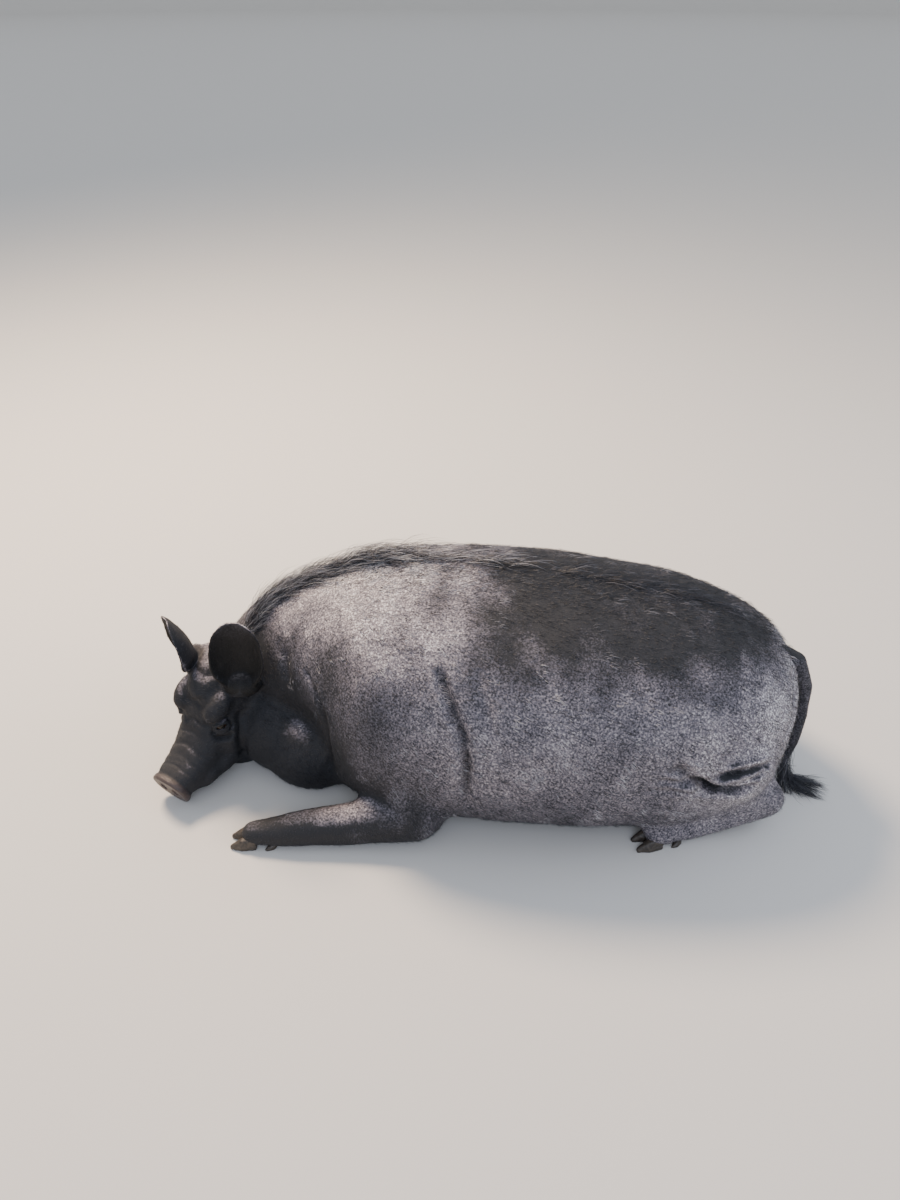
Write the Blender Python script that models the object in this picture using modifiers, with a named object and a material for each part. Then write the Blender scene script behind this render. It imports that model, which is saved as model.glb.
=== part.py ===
"""A pot-bellied pig, life size, lying on its belly with its head turned to its left.

The head end points along -X, the pig's left side faces -Y and the floor is z = 0. All sizes are
in metres. The body is modelled whole from lofts and rounded volumes, fused, pressed with folds
and then parted into head, neck, torso and legs. Ears, eyes, claws and tail are pieces of their
own. Everything hangs on one empty, which stands the middle of the pig's outline on the origin.
"""

import math
import random
from collections import namedtuple

import bmesh
import bpy
import numpy as np
from mathutils import Matrix, Vector
from mathutils.bvhtree import BVHTree

# Clearance between neighbouring solids.
GAP = 0.0003

# Body: one loft from the rump to the nape. A station is the widest level of a section, the way
# it faces in degrees, and the reach of the section to the left, right, up and down from there.
Station = namedtuple("Station", "x y z yaw pitch left right up down")
BODY = (
    Station(0.574, 0.004, 0.165, 0, 0, 0.020, 0.020, 0.030, 0.030),
    Station(0.566, 0.004, 0.160, 0, 0, 0.068, 0.068, 0.074, 0.085),
    Station(0.538, 0.004, 0.156, 0, 0, 0.124, 0.124, 0.124, 0.130),
    Station(0.478, 0.004, 0.155, 0, 0, 0.182, 0.182, 0.166, 0.165),
    Station(0.385, 0.004, 0.158, 0, 0, 0.221, 0.221, 0.193, 0.180),
    Station(0.265, 0.004, 0.160, 0, 0, 0.243, 0.243, 0.209, 0.180),
    Station(0.120, 0.004, 0.164, 0, 0, 0.250, 0.250, 0.218, 0.185),
    Station(-0.020, 0.004, 0.168, 0, 0, 0.241, 0.241, 0.217, 0.188),
    Station(-0.130, 0.006, 0.170, 4, 0, 0.222, 0.222, 0.202, 0.190),
    Station(-0.215, 0.010, 0.166, 14, 0, 0.197, 0.190, 0.172, 0.185),
    Station(-0.285, 0.014, 0.156, 28, 6, 0.172, 0.158, 0.136, 0.175),
    Station(-0.335, 0.008, 0.146, 42, 14, 0.136, 0.118, 0.094, 0.165),
    Station(-0.372, -0.008, 0.138, 54, 24, 0.096, 0.086, 0.060, 0.130),
)
BODY_MIDDLE_Y = 0.004
BODY_STEPS = 5
BODY_SIDES = 56
ROUND_ABOVE = 2.25
ROUND_BELOW = 2.55

# Head: its own frame has f along the muzzle, l to the pig's left and u up from the skull's base.
HEAD_AT = (-0.380, 0.004, 0.157)
HEAD_YAW = 63
HEAD_PITCH = 30
HEAD_ROLL = 2
HEAD_STEPS = 4
HEAD_SIDES = 36

# Skull and jaw sections: f, half width, top and bottom.
Section = namedtuple("Section", "f half top bottom")
SKULL = (
    Section(-0.060, 0.030, 0.030, -0.030),
    Section(-0.045, 0.058, 0.054, -0.070),
    Section(-0.010, 0.070, 0.074, -0.084),
    Section(0.030, 0.069, 0.084, -0.084),
    Section(0.062, 0.063, 0.083, -0.078),
    Section(0.092, 0.057, 0.067, -0.070),
    Section(0.118, 0.052, 0.046, -0.062),
    Section(0.144, 0.048, 0.031, -0.053),
    Section(0.170, 0.044, 0.023, -0.046),
    Section(0.196, 0.041, 0.021, -0.041),
    Section(0.218, 0.038, 0.023, -0.036),
    Section(0.230, 0.032, 0.019, -0.030),
)
JAW = (
    Section(-0.020, 0.040, -0.040, -0.090),
    Section(0.010, 0.070, -0.035, -0.112),
    Section(0.050, 0.076, -0.035, -0.116),
    Section(0.090, 0.066, -0.036, -0.106),
    Section(0.125, 0.051, -0.038, -0.092),
    Section(0.158, 0.040, -0.038, -0.080),
    Section(0.186, 0.033, -0.038, -0.070),
    Section(0.204, 0.026, -0.039, -0.062),
    Section(0.213, 0.012, -0.042, -0.054),
)
POLL_SECTIONS = 5

# Rounded volumes: centre and radii along f, l and u, on both sides where l isn't 0. They are the
# cheeks, the brows, the forehead, the upper lips at their back and front, and the ears' roots.
Volume = namedtuple("Volume", "f l u along across tall")
FACE_VOLUMES = (
    Volume(0.094, 0.046, -0.018, 0.046, 0.026, 0.036),
    Volume(0.080, 0.036, 0.052, 0.038, 0.025, 0.023),
    Volume(0.048, 0.000, 0.075, 0.044, 0.032, 0.015),
    Volume(0.138, 0.038, -0.038, 0.040, 0.022, 0.021),
    Volume(0.176, 0.029, -0.029, 0.036, 0.023, 0.018),
    Volume(0.012, 0.048, 0.052, 0.026, 0.024, 0.015),
)

# The fat of the jowls and throat, softened into the neck with the body. The left jowl is bunched
# on the inside of the neck's bend, and the right one is drawn out.
JOWL_VOLUMES = (
    Volume(0.030, 0.082, -0.078, 0.104, 0.072, 0.094),
    Volume(0.004, -0.058, -0.076, 0.094, 0.062, 0.086),
    Volume(-0.030, 0.000, -0.095, 0.090, 0.120, 0.090),
    Volume(0.095, 0.000, -0.095, 0.060, 0.060, 0.055),
)

# Rolls of fat that fill in beside the throat, near the floor: centre and radii in the world.
THROAT_ROLLS = (
    ((-0.245, -0.068, 0.056), (0.096, 0.084, 0.080)),
    ((-0.300, 0.100, 0.050), (0.090, 0.080, 0.066)),
)

# Snout: a short turned plate, its top tilted back, with two nostrils.
SNOUT_AT = (0.232, 0.0, -0.004)
SNOUT_HALF_WIDTH = 0.0375
SNOUT_HALF_HEIGHT = 0.0310
SNOUT_THICK = 0.020
SNOUT_TILT = -12
SNOUT_SIDES = 24
SNOUT_PROFILE = (
    (-1.00, 0.86),
    (-0.30, 0.99),
    (0.30, 1.00),
    (0.66, 0.94),
    (0.78, 0.82),
    (0.70, 0.55),
)
NOSTRIL_ASIDE = 0.0140
NOSTRIL_RADII = (0.0170, 0.0070, 0.0098)

# Mouth: the line from under the snout to the corner, in the head's frame, and its half depth.
MOUTH_LINE = (
    (0.224, 0.000, -0.036),
    (0.206, 0.026, -0.040),
    (0.174, 0.042, -0.046),
    (0.140, 0.054, -0.054),
    (0.116, 0.064, -0.056),
)
MOUTH_HALF_DEPTH = 0.0026
MOUTH_STEPS = 3

# Eyes: a ball in a socket, with an almond opening between thick lids.
EYE_AT = (0.104, 0.0425, 0.0290)
EYE_OUT = (0.45, 0.80, 0.30)
EYE_RADIUS = 0.0115
LID_THICK = 0.0028
LID_OPENING = (0.0120, 0.0098, 0.0046)
LID_SLANT = 18

# Ears: a cupped sheet from below its root to a rounded tip. Each is turned in its own way.
EAR_ROOT = (0.026, 0.056, 0.062)
EAR_LENGTHS = {1: 0.128, -1: 0.108}
EAR_BURIED = 0.12
EAR_HALF_WIDTH = 0.043
EAR_WIDEST = 0.42
EAR_ROOT_SHARE = 0.54
EAR_THICK = 0.0055
EAR_BASE_CUP = 92
EAR_TIP_CUP = 30
EAR_BEND = 0.010
EAR_TIP_POWER = 2.6
EAR_TIP_LEAST = 0.06
EAR_RISES = {1: (-0.44, 0.10, 0.89), -1: (-0.17, 0.00, 0.98)}
EAR_FACES = {1: (0.78, 0.58, 0.10), -1: (0.86, -0.48, 0.10)}
EAR_ROWS = 10
EAR_COLUMNS = 7

# Limbs: chains of joints, each a point and a radius, for the left side on -Y. Their lowest
# rounds go below the floor and are cut flat there.
Joint = namedtuple("Joint", "x y z radius")
FORELEG = (
    Joint(-0.050, -0.140, 0.125, 0.085),
    Joint(-0.045, -0.203, 0.050, 0.050),
    Joint(-0.150, -0.222, 0.034, 0.038),
    Joint(-0.230, -0.234, 0.029, 0.033),
    Joint(-0.285, -0.242, 0.023, 0.027),
    Joint(-0.312, -0.246, 0.022, 0.025),
)
HINDLEG = (
    Joint(0.440, -0.118, 0.150, 0.092),
    Joint(0.400, -0.135, 0.100, 0.060),
    Joint(0.530, -0.126, 0.056, 0.035),
    Joint(0.415, -0.162, 0.025, 0.030),
    Joint(0.375, -0.178, 0.023, 0.026),
    Joint(0.348, -0.188, 0.022, 0.025),
)
LIMB_CUT_GROWTH = 0.010

# Tail: hangs close down the rump, and ends in a switch of locks that lies on the floor.
TAIL = (
    Joint(0.530, 0.000, 0.268, 0.026),
    Joint(0.562, -0.004, 0.252, 0.017),
    Joint(0.584, -0.012, 0.206, 0.013),
    Joint(0.588, -0.022, 0.152, 0.011),
    Joint(0.583, -0.032, 0.100, 0.010),
    Joint(0.576, -0.038, 0.056, 0.009),
    Joint(0.584, -0.042, 0.022, 0.008),
    Joint(0.606, -0.046, 0.012, 0.007),
)
SWITCH_LOCKS = 5
SWITCH_LENGTH = 0.062
SWITCH_WIDTH = 0.015
SWITCH_RISE = 0.005
SWITCH_SPREAD = 0.38

# Claws: two on each foot and two smaller ones behind, as hulls of rings from back to tip. A ring
# is its share of the length, of the half width and of the height.
CLAW_RINGS = ((0.00, 0.90, 1.00), (0.55, 1.00, 0.72), (1.00, 0.36, 0.22))
CLAW_SIZE = (0.044, 0.0190, 0.0270)
CLAW_APART = 0.0030
CLAW_SUNK = 0.006
DEWCLAW_SIZE = (0.020, 0.0110, 0.0120)
DEWCLAW_AHEAD = -0.010
DEWCLAW_ASIDE = 0.0125
DEWCLAW_TURN = 24

# Folds of skin: how deep and how wide, how high the rims stand, and a few points to follow.
Fold = namedtuple("Fold", "depth width rim line")
NECK_FOLDS = (
    # The deep fold before the shoulder.
    Fold(
        0.013,
        0.010,
        0.004,
        (
            (-0.238, -0.098, 0.257),
            (-0.208, -0.137, 0.212),
            (-0.195, -0.145, 0.126),
            (-0.196, -0.131, 0.060),
        ),
    ),
    # A shallow one behind the ear.
    Fold(
        0.005,
        0.010,
        0.002,
        (
            (-0.296, -0.041, 0.265),
            (-0.280, -0.069, 0.246),
            (-0.272, -0.085, 0.205),
        ),
    ),
)
SIDE_FOLDS = (
    # Behind the elbow.
    Fold(
        0.013,
        0.011,
        0.004,
        (
            (-0.015, -0.168, 0.332),
            (0.009, -0.202, 0.297),
            (0.036, -0.236, 0.230),
            (0.036, -0.236, 0.110),
        ),
    ),
    # A shallow one beside it.
    Fold(
        0.004,
        0.010,
        0.002,
        (
            (0.048, -0.167, 0.336),
            (0.072, -0.224, 0.262),
        ),
    ),
    # The pocket between flank and ham.
    Fold(
        0.018,
        0.011,
        0.005,
        (
            (0.325, -0.214, 0.246),
            (0.350, -0.221, 0.206),
            (0.395, -0.213, 0.168),
            (0.425, -0.204, 0.150),
            (0.482, -0.191, 0.155),
        ),
    ),
    # The ham's upper fold.
    Fold(
        0.007,
        0.006,
        0.003,
        (
            (0.397, -0.213, 0.176),
            (0.459, -0.192, 0.184),
            (0.505, -0.169, 0.180),
        ),
    ),
    # A wrinkle below it.
    Fold(
        0.006,
        0.005,
        0.002,
        (
            (0.440, -0.201, 0.164),
            (0.496, -0.178, 0.174),
        ),
    ),
    # The upper wrinkle of the belly.
    Fold(
        0.005,
        0.005,
        0.002,
        (
            (0.325, -0.230, 0.184),
            (0.400, -0.210, 0.171),
        ),
    ),
    # The lower wrinkle of the belly.
    Fold(
        0.005,
        0.005,
        0.002,
        (
            (0.310, -0.232, 0.164),
            (0.405, -0.210, 0.150),
        ),
    ),
    # Beside the tail.
    Fold(
        0.007,
        0.012,
        0.002,
        (
            (0.550, -0.036, 0.262),
            (0.552, -0.070, 0.225),
            (0.536, -0.120, 0.180),
        ),
    ),
)
FACE_FOLDS = (
    # Between cheek and jowl.
    Fold(
        0.008,
        0.007,
        0.003,
        (
            (0.070, 0.062, 0.021),
            (0.092, 0.068, 0.004),
            (0.113, 0.068, -0.014),
            (0.127, 0.056, -0.061),
        ),
    ),
    # Below the eye.
    Fold(
        0.006,
        0.005,
        0.002,
        (
            (0.128, 0.036, 0.030),
            (0.124, 0.052, 0.014),
            (0.106, 0.062, 0.010),
        ),
    ),
    # Across the poll.
    Fold(
        0.005,
        0.005,
        0.002,
        (
            (0.034, 0.046, 0.084),
            (0.050, 0.000, 0.092),
        ),
    ),
    # Above the brow.
    Fold(
        0.004,
        0.004,
        0.0015,
        (
            (0.088, 0.030, 0.074),
            (0.104, 0.010, 0.062),
        ),
    ),
    # Between the eyes.
    Fold(
        0.004,
        0.004,
        0.0015,
        (
            (0.122, 0.028, 0.044),
            (0.130, 0.000, 0.040),
        ),
    ),
    # Across the bridge of the nose.
    Fold(
        0.003,
        0.004,
        0.0015,
        (
            (0.144, 0.030, 0.030),
            (0.150, 0.000, 0.030),
        ),
    ),
    # Across the muzzle.
    Fold(
        0.003,
        0.004,
        0.0015,
        (
            (0.164, 0.032, 0.022),
            (0.170, 0.000, 0.025),
        ),
    ),
)
FOLD_STEPS = 6
FOLD_REACH = 4

# Mane: locks along the top of the neck and back, in three columns. Their length and the rise of
# their tips, at shares of the way from the poll to the hips.
MANE_FROM = 17
MANE_STEP = 0.0135
MANE_COLUMNS = (0.0, 0.012, -0.012)
MANE_LENGTHS = (0.056, 0.082, 0.090, 0.084, 0.072, 0.062, 0.052)
MANE_RISES = (0.013, 0.021, 0.023, 0.017, 0.011, 0.009, 0.007)
MANE_WIDTH = 0.024
MANE_SPREAD = 14

# Locks on the poll, between the ears: places along f and l of the head's frame.
POLL_LOCKS = ((0.042, 0.004), (0.030, -0.005), (0.018, 0.005))
POLL_LOCK_LENGTH = 0.038
POLL_LOCK_RISE = 0.018
POLL_LOCK_WIDTH = 0.017

# One lock: stations along it, as shares of its length, of its rise, width and thickness.
LOCK_STATIONS = (
    (0.00, 0.00, 0.80, 1.00),
    (0.30, 0.72, 1.00, 0.80),
    (0.68, 1.00, 0.74, 0.50),
    (1.00, 0.80, 0.10, 0.14),
)
LOCK_THICK = 0.0062
LOCK_SUNK = 0.0065
LOCK_SEED = 5

# EXACT opens a mesh that carries locks or the thin line of the mouth, so these are MANIFOLD.
FINE_SOLVER = "MANIFOLD"

# Parting boxes, both upright: the head's turns with it, and the neck's with the shoulders.
HEAD_BOX = ((-0.026, -0.170, -0.300), (0.300, 0.152, 0.200))
SHOULDER_AT = (-0.170, 0.010, 0.170)
SHOULDER_YAW = 12
FRONT_BOX = ((0.000, -0.600, -0.400), (0.700, 0.600, 0.400))

BODY_VOXEL = 0.005
HEAD_VOXEL = 0.003
WHOLE_VOXEL = 0.0035
TRUNK_SOFTENING = 36
HEAD_SOFTENING = 6
FINE_TRIANGLES = 8600
COARSE_TRIANGLES = 4300
TAIL_TRIANGLES = 240
TAIL_VOXEL = 0.0025
TAIL_SOFTENING = 3

HIDE = ("#57524F", 0.85)
HIDE_DARK = ("#46423F", 0.85)
EYE_BROWN = ("#1C1310", 0.10)
HOOF_HORN = ("#3B342D", 0.55)


def clear_scene():
    for found in list(bpy.data.objects):
        bpy.data.objects.remove(found)


def make_collection(name):
    made = bpy.data.collections.new(name)
    bpy.context.scene.collection.children.link(made)
    return made


def place(name, mesh, collection):
    made = bpy.data.objects.new(name, mesh)
    collection.objects.link(made)
    return made


def placed_shape(name, shape, collection):
    """An object of a bmesh, which is freed."""
    shape.normal_update()
    bmesh.ops.recalc_face_normals(shape, faces=shape.faces)
    mesh = bpy.data.meshes.new(name)
    shape.to_mesh(mesh)
    shape.free()
    return place(name, mesh, collection)


def evaluated(source, name, collection):
    """A new object holding source's mesh with its modifiers applied; source is removed."""
    bpy.context.view_layer.update()
    graph = bpy.context.evaluated_depsgraph_get()
    mesh = bpy.data.meshes.new_from_object(source.evaluated_get(graph))
    mesh.transform(source.matrix_world)
    bpy.data.objects.remove(source)
    return place(name, mesh, collection)


def linear(value):
    """One sRGB channel from 0 to 1, as linear light."""
    return value / 12.92 if value <= 0.04045 else ((value + 0.055) / 1.055) ** 2.4


def finish(target, name, look):
    """Gives target its name and a material of its own."""
    colour, roughness = look
    material = bpy.data.materials.new(name)
    material.use_nodes = True
    shader = material.node_tree.nodes["Principled BSDF"]
    channels = [linear(int(colour[index : index + 2], 16) / 255) for index in (1, 3, 5)]
    shader.inputs["Base Color"].default_value = (*channels, 1)
    shader.inputs["Roughness"].default_value = roughness
    shader.inputs["Metallic"].default_value = 0
    target.name = name
    target.data.name = name
    target.data.materials.clear()
    target.data.materials.append(material)
    target.data.shade_smooth()


def spline_rows(rows, steps):
    """Rows of numbers, read on a Catmull-Rom curve through them with steps rows to each span."""
    keys = np.array(rows, float)
    padded = np.vstack([2 * keys[0] - keys[1], keys, 2 * keys[-1] - keys[-2]])
    found = []
    for span in range(len(keys) - 1):
        before, start, end, after = padded[span : span + 4]
        for step in range(steps):
            t = step / steps
            found.append(
                0.5
                * (
                    2 * start
                    + (end - before) * t
                    + (2 * before - 5 * start + 4 * end - after) * t**2
                    + (3 * start - before - 3 * end + after) * t**3
                )
            )
    found.append(keys[-1])
    return np.array(found)


def oval(count, left, right, up, down):
    """Points of a section as reaches to its left and up, rounder above than below."""
    points = []
    for index in range(count):
        turn = 2 * math.pi * index / count
        across, tall = math.cos(turn), math.sin(turn)
        power = 2 / (ROUND_ABOVE if tall > 0 else ROUND_BELOW)
        reach = left if across > 0 else right
        rise = up if tall > 0 else down
        points.append(
            (
                math.copysign(abs(across) ** power, across) * reach,
                math.copysign(abs(tall) ** power, tall) * rise,
            )
        )
    return points


def loft(name, rings, collection):
    """A closed tube through rings of points, with a fan of triangles at each end."""
    shape = bmesh.new()
    loops = [[shape.verts.new(point) for point in ring] for ring in rings]
    sides = len(loops[0])
    for one, other in zip(loops, loops[1:]):
        for side in range(sides):
            after = (side + 1) % sides
            shape.faces.new((one[side], one[after], other[after], other[side]))
    for loop in (loops[0], loops[-1]):
        middle = shape.verts.new(sum((vert.co for vert in loop), Vector()) / sides)
        for side in range(sides):
            shape.faces.new((loop[side], loop[(side + 1) % sides], middle))
    return placed_shape(name, shape, collection)


def facing(yaw, pitch, roll=0):
    """Forward, left and up of what faces -X, then is turned left, put nose down and rolled."""
    yaw, pitch, roll = (math.radians(value) for value in (yaw, pitch, roll))
    forward = Vector(
        (
            -math.cos(yaw) * math.cos(pitch),
            -math.sin(yaw) * math.cos(pitch),
            -math.sin(pitch),
        )
    )
    left = Vector((math.sin(yaw), -math.cos(yaw), 0))
    up = forward.cross(left)
    return (
        forward,
        left * math.cos(roll) + up * math.sin(roll),
        up * math.cos(roll) - left * math.sin(roll),
    )


HEAD_FRAME = facing(HEAD_YAW, HEAD_PITCH, HEAD_ROLL)
WORLD = (Vector((1, 0, 0)), Vector((0, 1, 0)), Vector((0, 0, 1)))


def head_way(f, l, u):
    forward, left, up = HEAD_FRAME
    return forward * f + left * l + up * u


def head_point(f, l, u):
    return Vector(HEAD_AT) + head_way(f, l, u)


def on_side(row, side):
    """A row of the head's frame, for the left when side is 1 and for the right when it is -1."""
    f, l, u = row
    return f, l * side, u


def body_rows():
    return [Station(*row) for row in spline_rows(BODY, BODY_STEPS)]


def body_loft(collection):
    rings = []
    for station in body_rows():
        centre = Vector((station.x, station.y, station.z))
        _, left, up = facing(station.yaw, station.pitch)
        outline = oval(
            BODY_SIDES, station.left, station.right, station.up, station.down
        )
        rings.append([centre + left * across + up * tall for across, tall in outline])
    return loft("body_loft", rings, collection)


def head_loft(name, sections, collection):
    rings = []
    for row in spline_rows(sections, HEAD_STEPS):
        section = Section(*row)
        middle = (section.top + section.bottom) / 2
        half = (section.top - section.bottom) / 2
        outline = oval(HEAD_SIDES, section.half, section.half, half, half)
        rings.append(
            [head_point(section.f, across, middle + tall) for across, tall in outline]
        )
    return loft(name, rings, collection)


def ball(name, centre, radii, frame, collection, segments=24, rings=16):
    """An ellipsoid with its radii along the three directions of frame."""
    shape = bmesh.new()
    axes = Matrix([direction * radius for direction, radius in zip(frame, radii)])
    bmesh.ops.create_uvsphere(
        shape,
        u_segments=segments,
        v_segments=rings,
        radius=1,
        matrix=Matrix.Translation(centre) @ axes.transposed().to_4x4(),
    )
    return placed_shape(name, shape, collection)


def volumes(name, rows, paired, collection):
    """A ball for each row, and where they are paired another for each row beside the middle."""
    made = []
    for index, volume in enumerate(rows):
        for side in (1, -1) if paired and volume.l else (1,):
            made.append(
                ball(
                    f"{name}_{index}_{side}",
                    head_point(volume.f, volume.l * side, volume.u),
                    (volume.along, volume.across, volume.tall),
                    HEAD_FRAME,
                    collection,
                )
            )
    return made


def snout_frame():
    """The head's frame with its top tilted back, for the snout."""
    forward, left, up = HEAD_FRAME
    turn = Matrix.Rotation(math.radians(SNOUT_TILT), 3, left)
    return turn @ forward, left, turn @ up


def snout_plate(collection):
    forward, left, up = snout_frame()
    centre = head_point(*SNOUT_AT)
    rings = []
    for along, share in SNOUT_PROFILE:
        middle = centre + forward * along * SNOUT_THICK / 2
        width, height = SNOUT_HALF_WIDTH * share, SNOUT_HALF_HEIGHT * share
        outline = oval(SNOUT_SIDES, width, width, height, height)
        rings.append([middle + left * across + up * tall for across, tall in outline])
    return loft("snout_plate", rings, collection)


def mirrored(chain, side):
    """The chain as it is for side 1, the pig's left, and on the other side for -1."""
    return [joint._replace(y=joint.y * side) for joint in chain]


def capsule(name, start, end, grow, collection):
    """The hull of two balls, which is a rounded cone."""
    shape = bmesh.new()
    for joint in (start, end):
        bmesh.ops.create_icosphere(
            shape,
            subdivisions=2 if grow else 3,
            radius=joint.radius + grow,
            matrix=Matrix.Translation((joint.x, joint.y, joint.z)),
        )
    return hulled(name, shape, collection)


def hulled(name, shape, collection):
    """The convex hull of a bmesh's points, as an object; the bmesh is freed."""
    cloud = bmesh.new()
    for vert in shape.verts:
        cloud.verts.new(vert.co)
    shape.free()
    hull = bmesh.ops.convex_hull(cloud, input=cloud.verts)
    unused = set(hull["geom_interior"]) | set(hull["geom_unused"])
    points = [item for item in unused if isinstance(item, bmesh.types.BMVert)]
    bmesh.ops.delete(cloud, geom=points, context="VERTS")
    return placed_shape(name, cloud, collection)


def limb(name, chain, collection, grow=0.0):
    return [
        capsule(f"{name}_{index}", start, end, grow, collection)
        for index, (start, end) in enumerate(zip(chain, chain[1:]))
    ]


def joined(name, pieces, collection):
    """One object holding all the pieces' faces; the pieces are removed."""
    shape = bmesh.new()
    for piece in pieces:
        shape.from_mesh(piece.data)
        bpy.data.objects.remove(piece)
    return placed_shape(name, shape, collection)


def fused(name, pieces, voxel, passes, collection):
    """One closed surface round all the pieces, softened by passes of smoothing."""
    whole = joined(name + "_loose", pieces, collection)
    remesh = whole.modifiers.new("fuse", "REMESH")
    remesh.mode = "VOXEL"
    remesh.voxel_size = voxel
    remesh.adaptivity = 0
    soften = whole.modifiers.new("soften", "SMOOTH")
    soften.factor = 0.5
    soften.iterations = passes
    return evaluated(whole, name, collection)


def flesh(collection):
    """The pig without ears, eyes, claws and tail, as one closed surface."""
    bulk = [
        body_loft(collection),
        head_loft("poll_loft", SKULL[:POLL_SECTIONS], collection),
        *volumes("jowl", JOWL_VOLUMES, False, collection),
    ]
    bulk += [ball("roll", centre, radii, WORLD, collection) for centre, radii in THROAT_ROLLS]
    for side in (1, -1):
        bulk += limb("foreleg", mirrored(FORELEG, side), collection)
        bulk += limb("hindleg", mirrored(HINDLEG, side), collection)
    trunk = fused("trunk", bulk, BODY_VOXEL, TRUNK_SOFTENING, collection)
    skull = [
        head_loft("skull_loft", SKULL, collection),
        head_loft("jaw_loft", JAW, collection),
        *volumes("face", FACE_VOLUMES, True, collection),
    ]
    head = fused("skull", skull, HEAD_VOXEL, HEAD_SOFTENING, collection)
    whole = fused("flesh", [trunk, head], WHOLE_VOXEL, HEAD_SOFTENING, collection)
    press_folds(whole, all_folds())
    return whole


def all_folds():
    """Every fold in world coordinates, with those of both sides on each side."""
    found = list(NECK_FOLDS)
    for side in (1, -1):
        for fold in SIDE_FOLDS:
            line = [
                (x, BODY_MIDDLE_Y + (y - BODY_MIDDLE_Y) * side, z)
                for x, y, z in fold.line
            ]
            found.append(fold._replace(line=line))
        for fold in FACE_FOLDS:
            line = [head_point(*on_side(row, side)) for row in fold.line]
            found.append(fold._replace(line=line))
    return found


def coordinates(target):
    points = np.empty(len(target.data.vertices) * 3)
    target.data.vertices.foreach_get("co", points)
    return points.reshape(-1, 3)


def distance_to_line(points, line):
    """Each point's distance to a polyline, and how far along it the nearest place is, 0 to 1."""
    nearest = np.full(len(points), np.inf)
    along = np.zeros(len(points))
    for index, (start, end) in enumerate(zip(line, line[1:])):
        span = end - start
        share = np.clip((points - start) @ span / (span @ span), 0, 1)
        distance = np.linalg.norm(points - start - share[:, None] * span, axis=1)
        closer = distance < nearest
        nearest[closer] = distance[closer]
        along[closer] = (index + share[closer]) / (len(line) - 1)
    return nearest, along


def press_folds(target, folds):
    """Presses each fold into the surface, deepest along its line and fading at its ends."""
    points = coordinates(target)
    normals = np.empty(len(points) * 3)
    target.data.vertex_normals.foreach_get("vector", normals)
    surface = surface_of(target)
    shift = np.zeros(len(points))
    for fold in folds:
        curve = spline_rows(fold.line, FOLD_STEPS)
        line = np.array([surface.find_nearest(Vector(point))[0] for point in curve])
        reach = fold.width * FOLD_REACH
        inside = (points > line.min(axis=0) - reach) & (points < line.max(axis=0) + reach)
        near = np.flatnonzero(inside.all(axis=1))
        distance, along = distance_to_line(points[near], line)
        share = distance / fold.width
        profile = fold.rim * np.exp(-((share - 2) ** 2)) - fold.depth * np.exp(-(share**2))
        shift[near] += profile * np.sqrt(np.sin(np.pi * along).clip(0))
    points += normals.reshape(-1, 3) * shift[:, None]
    target.data.vertices.foreach_set("co", points.ravel())
    target.data.update()


def copied(source, name, collection):
    return place(name, source.data.copy(), collection)


def decimated(source, name, triangles, collection):
    """A copy of source brought down to about so many triangles."""
    source.data.calc_loop_triangles()
    thin = copied(source, name, collection)
    reduce = thin.modifiers.new("reduce", "DECIMATE")
    reduce.ratio = triangles / len(source.data.loop_triangles)
    return evaluated(thin, name, collection)


def combined(target, operation, others, collection, solver="EXACT"):
    """Target after a Boolean with each of the others in turn, which are removed."""
    for other in others:
        boolean = target.modifiers.new("combine", "BOOLEAN")
        boolean.operation = operation
        boolean.object = other
        boolean.solver = solver
        target = evaluated(target, target.name, collection)
        bpy.data.objects.remove(other)
    return target


def keep_largest(target):
    """Removes every closed surface of target but the one with the most area."""
    shape = bmesh.new()
    shape.from_mesh(target.data)
    waiting = set(shape.verts)
    groups = []
    while waiting:
        group = {waiting.pop()}
        edge_of_group = list(group)
        while edge_of_group:
            vert = edge_of_group.pop()
            for edge in vert.link_edges:
                other = edge.other_vert(vert)
                if other not in group:
                    group.add(other)
                    edge_of_group.append(other)
        waiting -= group
        groups.append(group)

    def area(group):
        faces = {face for vert in group for face in vert.link_faces}
        return sum(face.calc_area() for face in faces)

    largest = max(groups, key=area)
    scraps = [vert for vert in shape.verts if vert not in largest]
    bmesh.ops.delete(shape, geom=scraps, context="VERTS")
    shape.to_mesh(target.data)
    shape.free()
    return target


def oriented_box(name, origin, frame, low, high, grow, collection):
    """A box between low and high along the three directions of frame, larger by grow."""
    shape = bmesh.new()
    bmesh.ops.create_cube(shape, size=1)
    middle = [(one + other) / 2 for one, other in zip(low, high)]
    sizes = [other - one + 2 * grow for one, other in zip(low, high)]
    for vert in shape.verts:
        reaches = [centre + size * share for centre, size, share in zip(middle, sizes, vert.co)]
        vert.co = origin + sum(
            (way * reach for way, reach in zip(frame, reaches)), Vector()
        )
    return placed_shape(name, shape, collection)


def head_box(grow, collection):
    frame = facing(HEAD_YAW, 0)
    return oriented_box(
        "head_box", Vector(HEAD_AT), frame, *HEAD_BOX, grow, collection
    )


def front_box(grow, collection):
    frame = facing(SHOULDER_YAW, 0)
    return oriented_box(
        "front_box", Vector(SHOULDER_AT), frame, *FRONT_BOX, grow, collection
    )


def floor_box(collection):
    """All that is below the floor."""
    return oriented_box("floor_box", Vector(), WORLD, (-1, -1, -1), (1, 1, 0), 0, collection)


def limb_cutter(chain, grow, collection):
    """One closed round shape about a limb."""
    pieces = limb("limb_cutter", chain, collection, LIMB_CUT_GROWTH + grow)
    first = pieces.pop(0)
    return combined(first, "UNION", pieces, collection)


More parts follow.
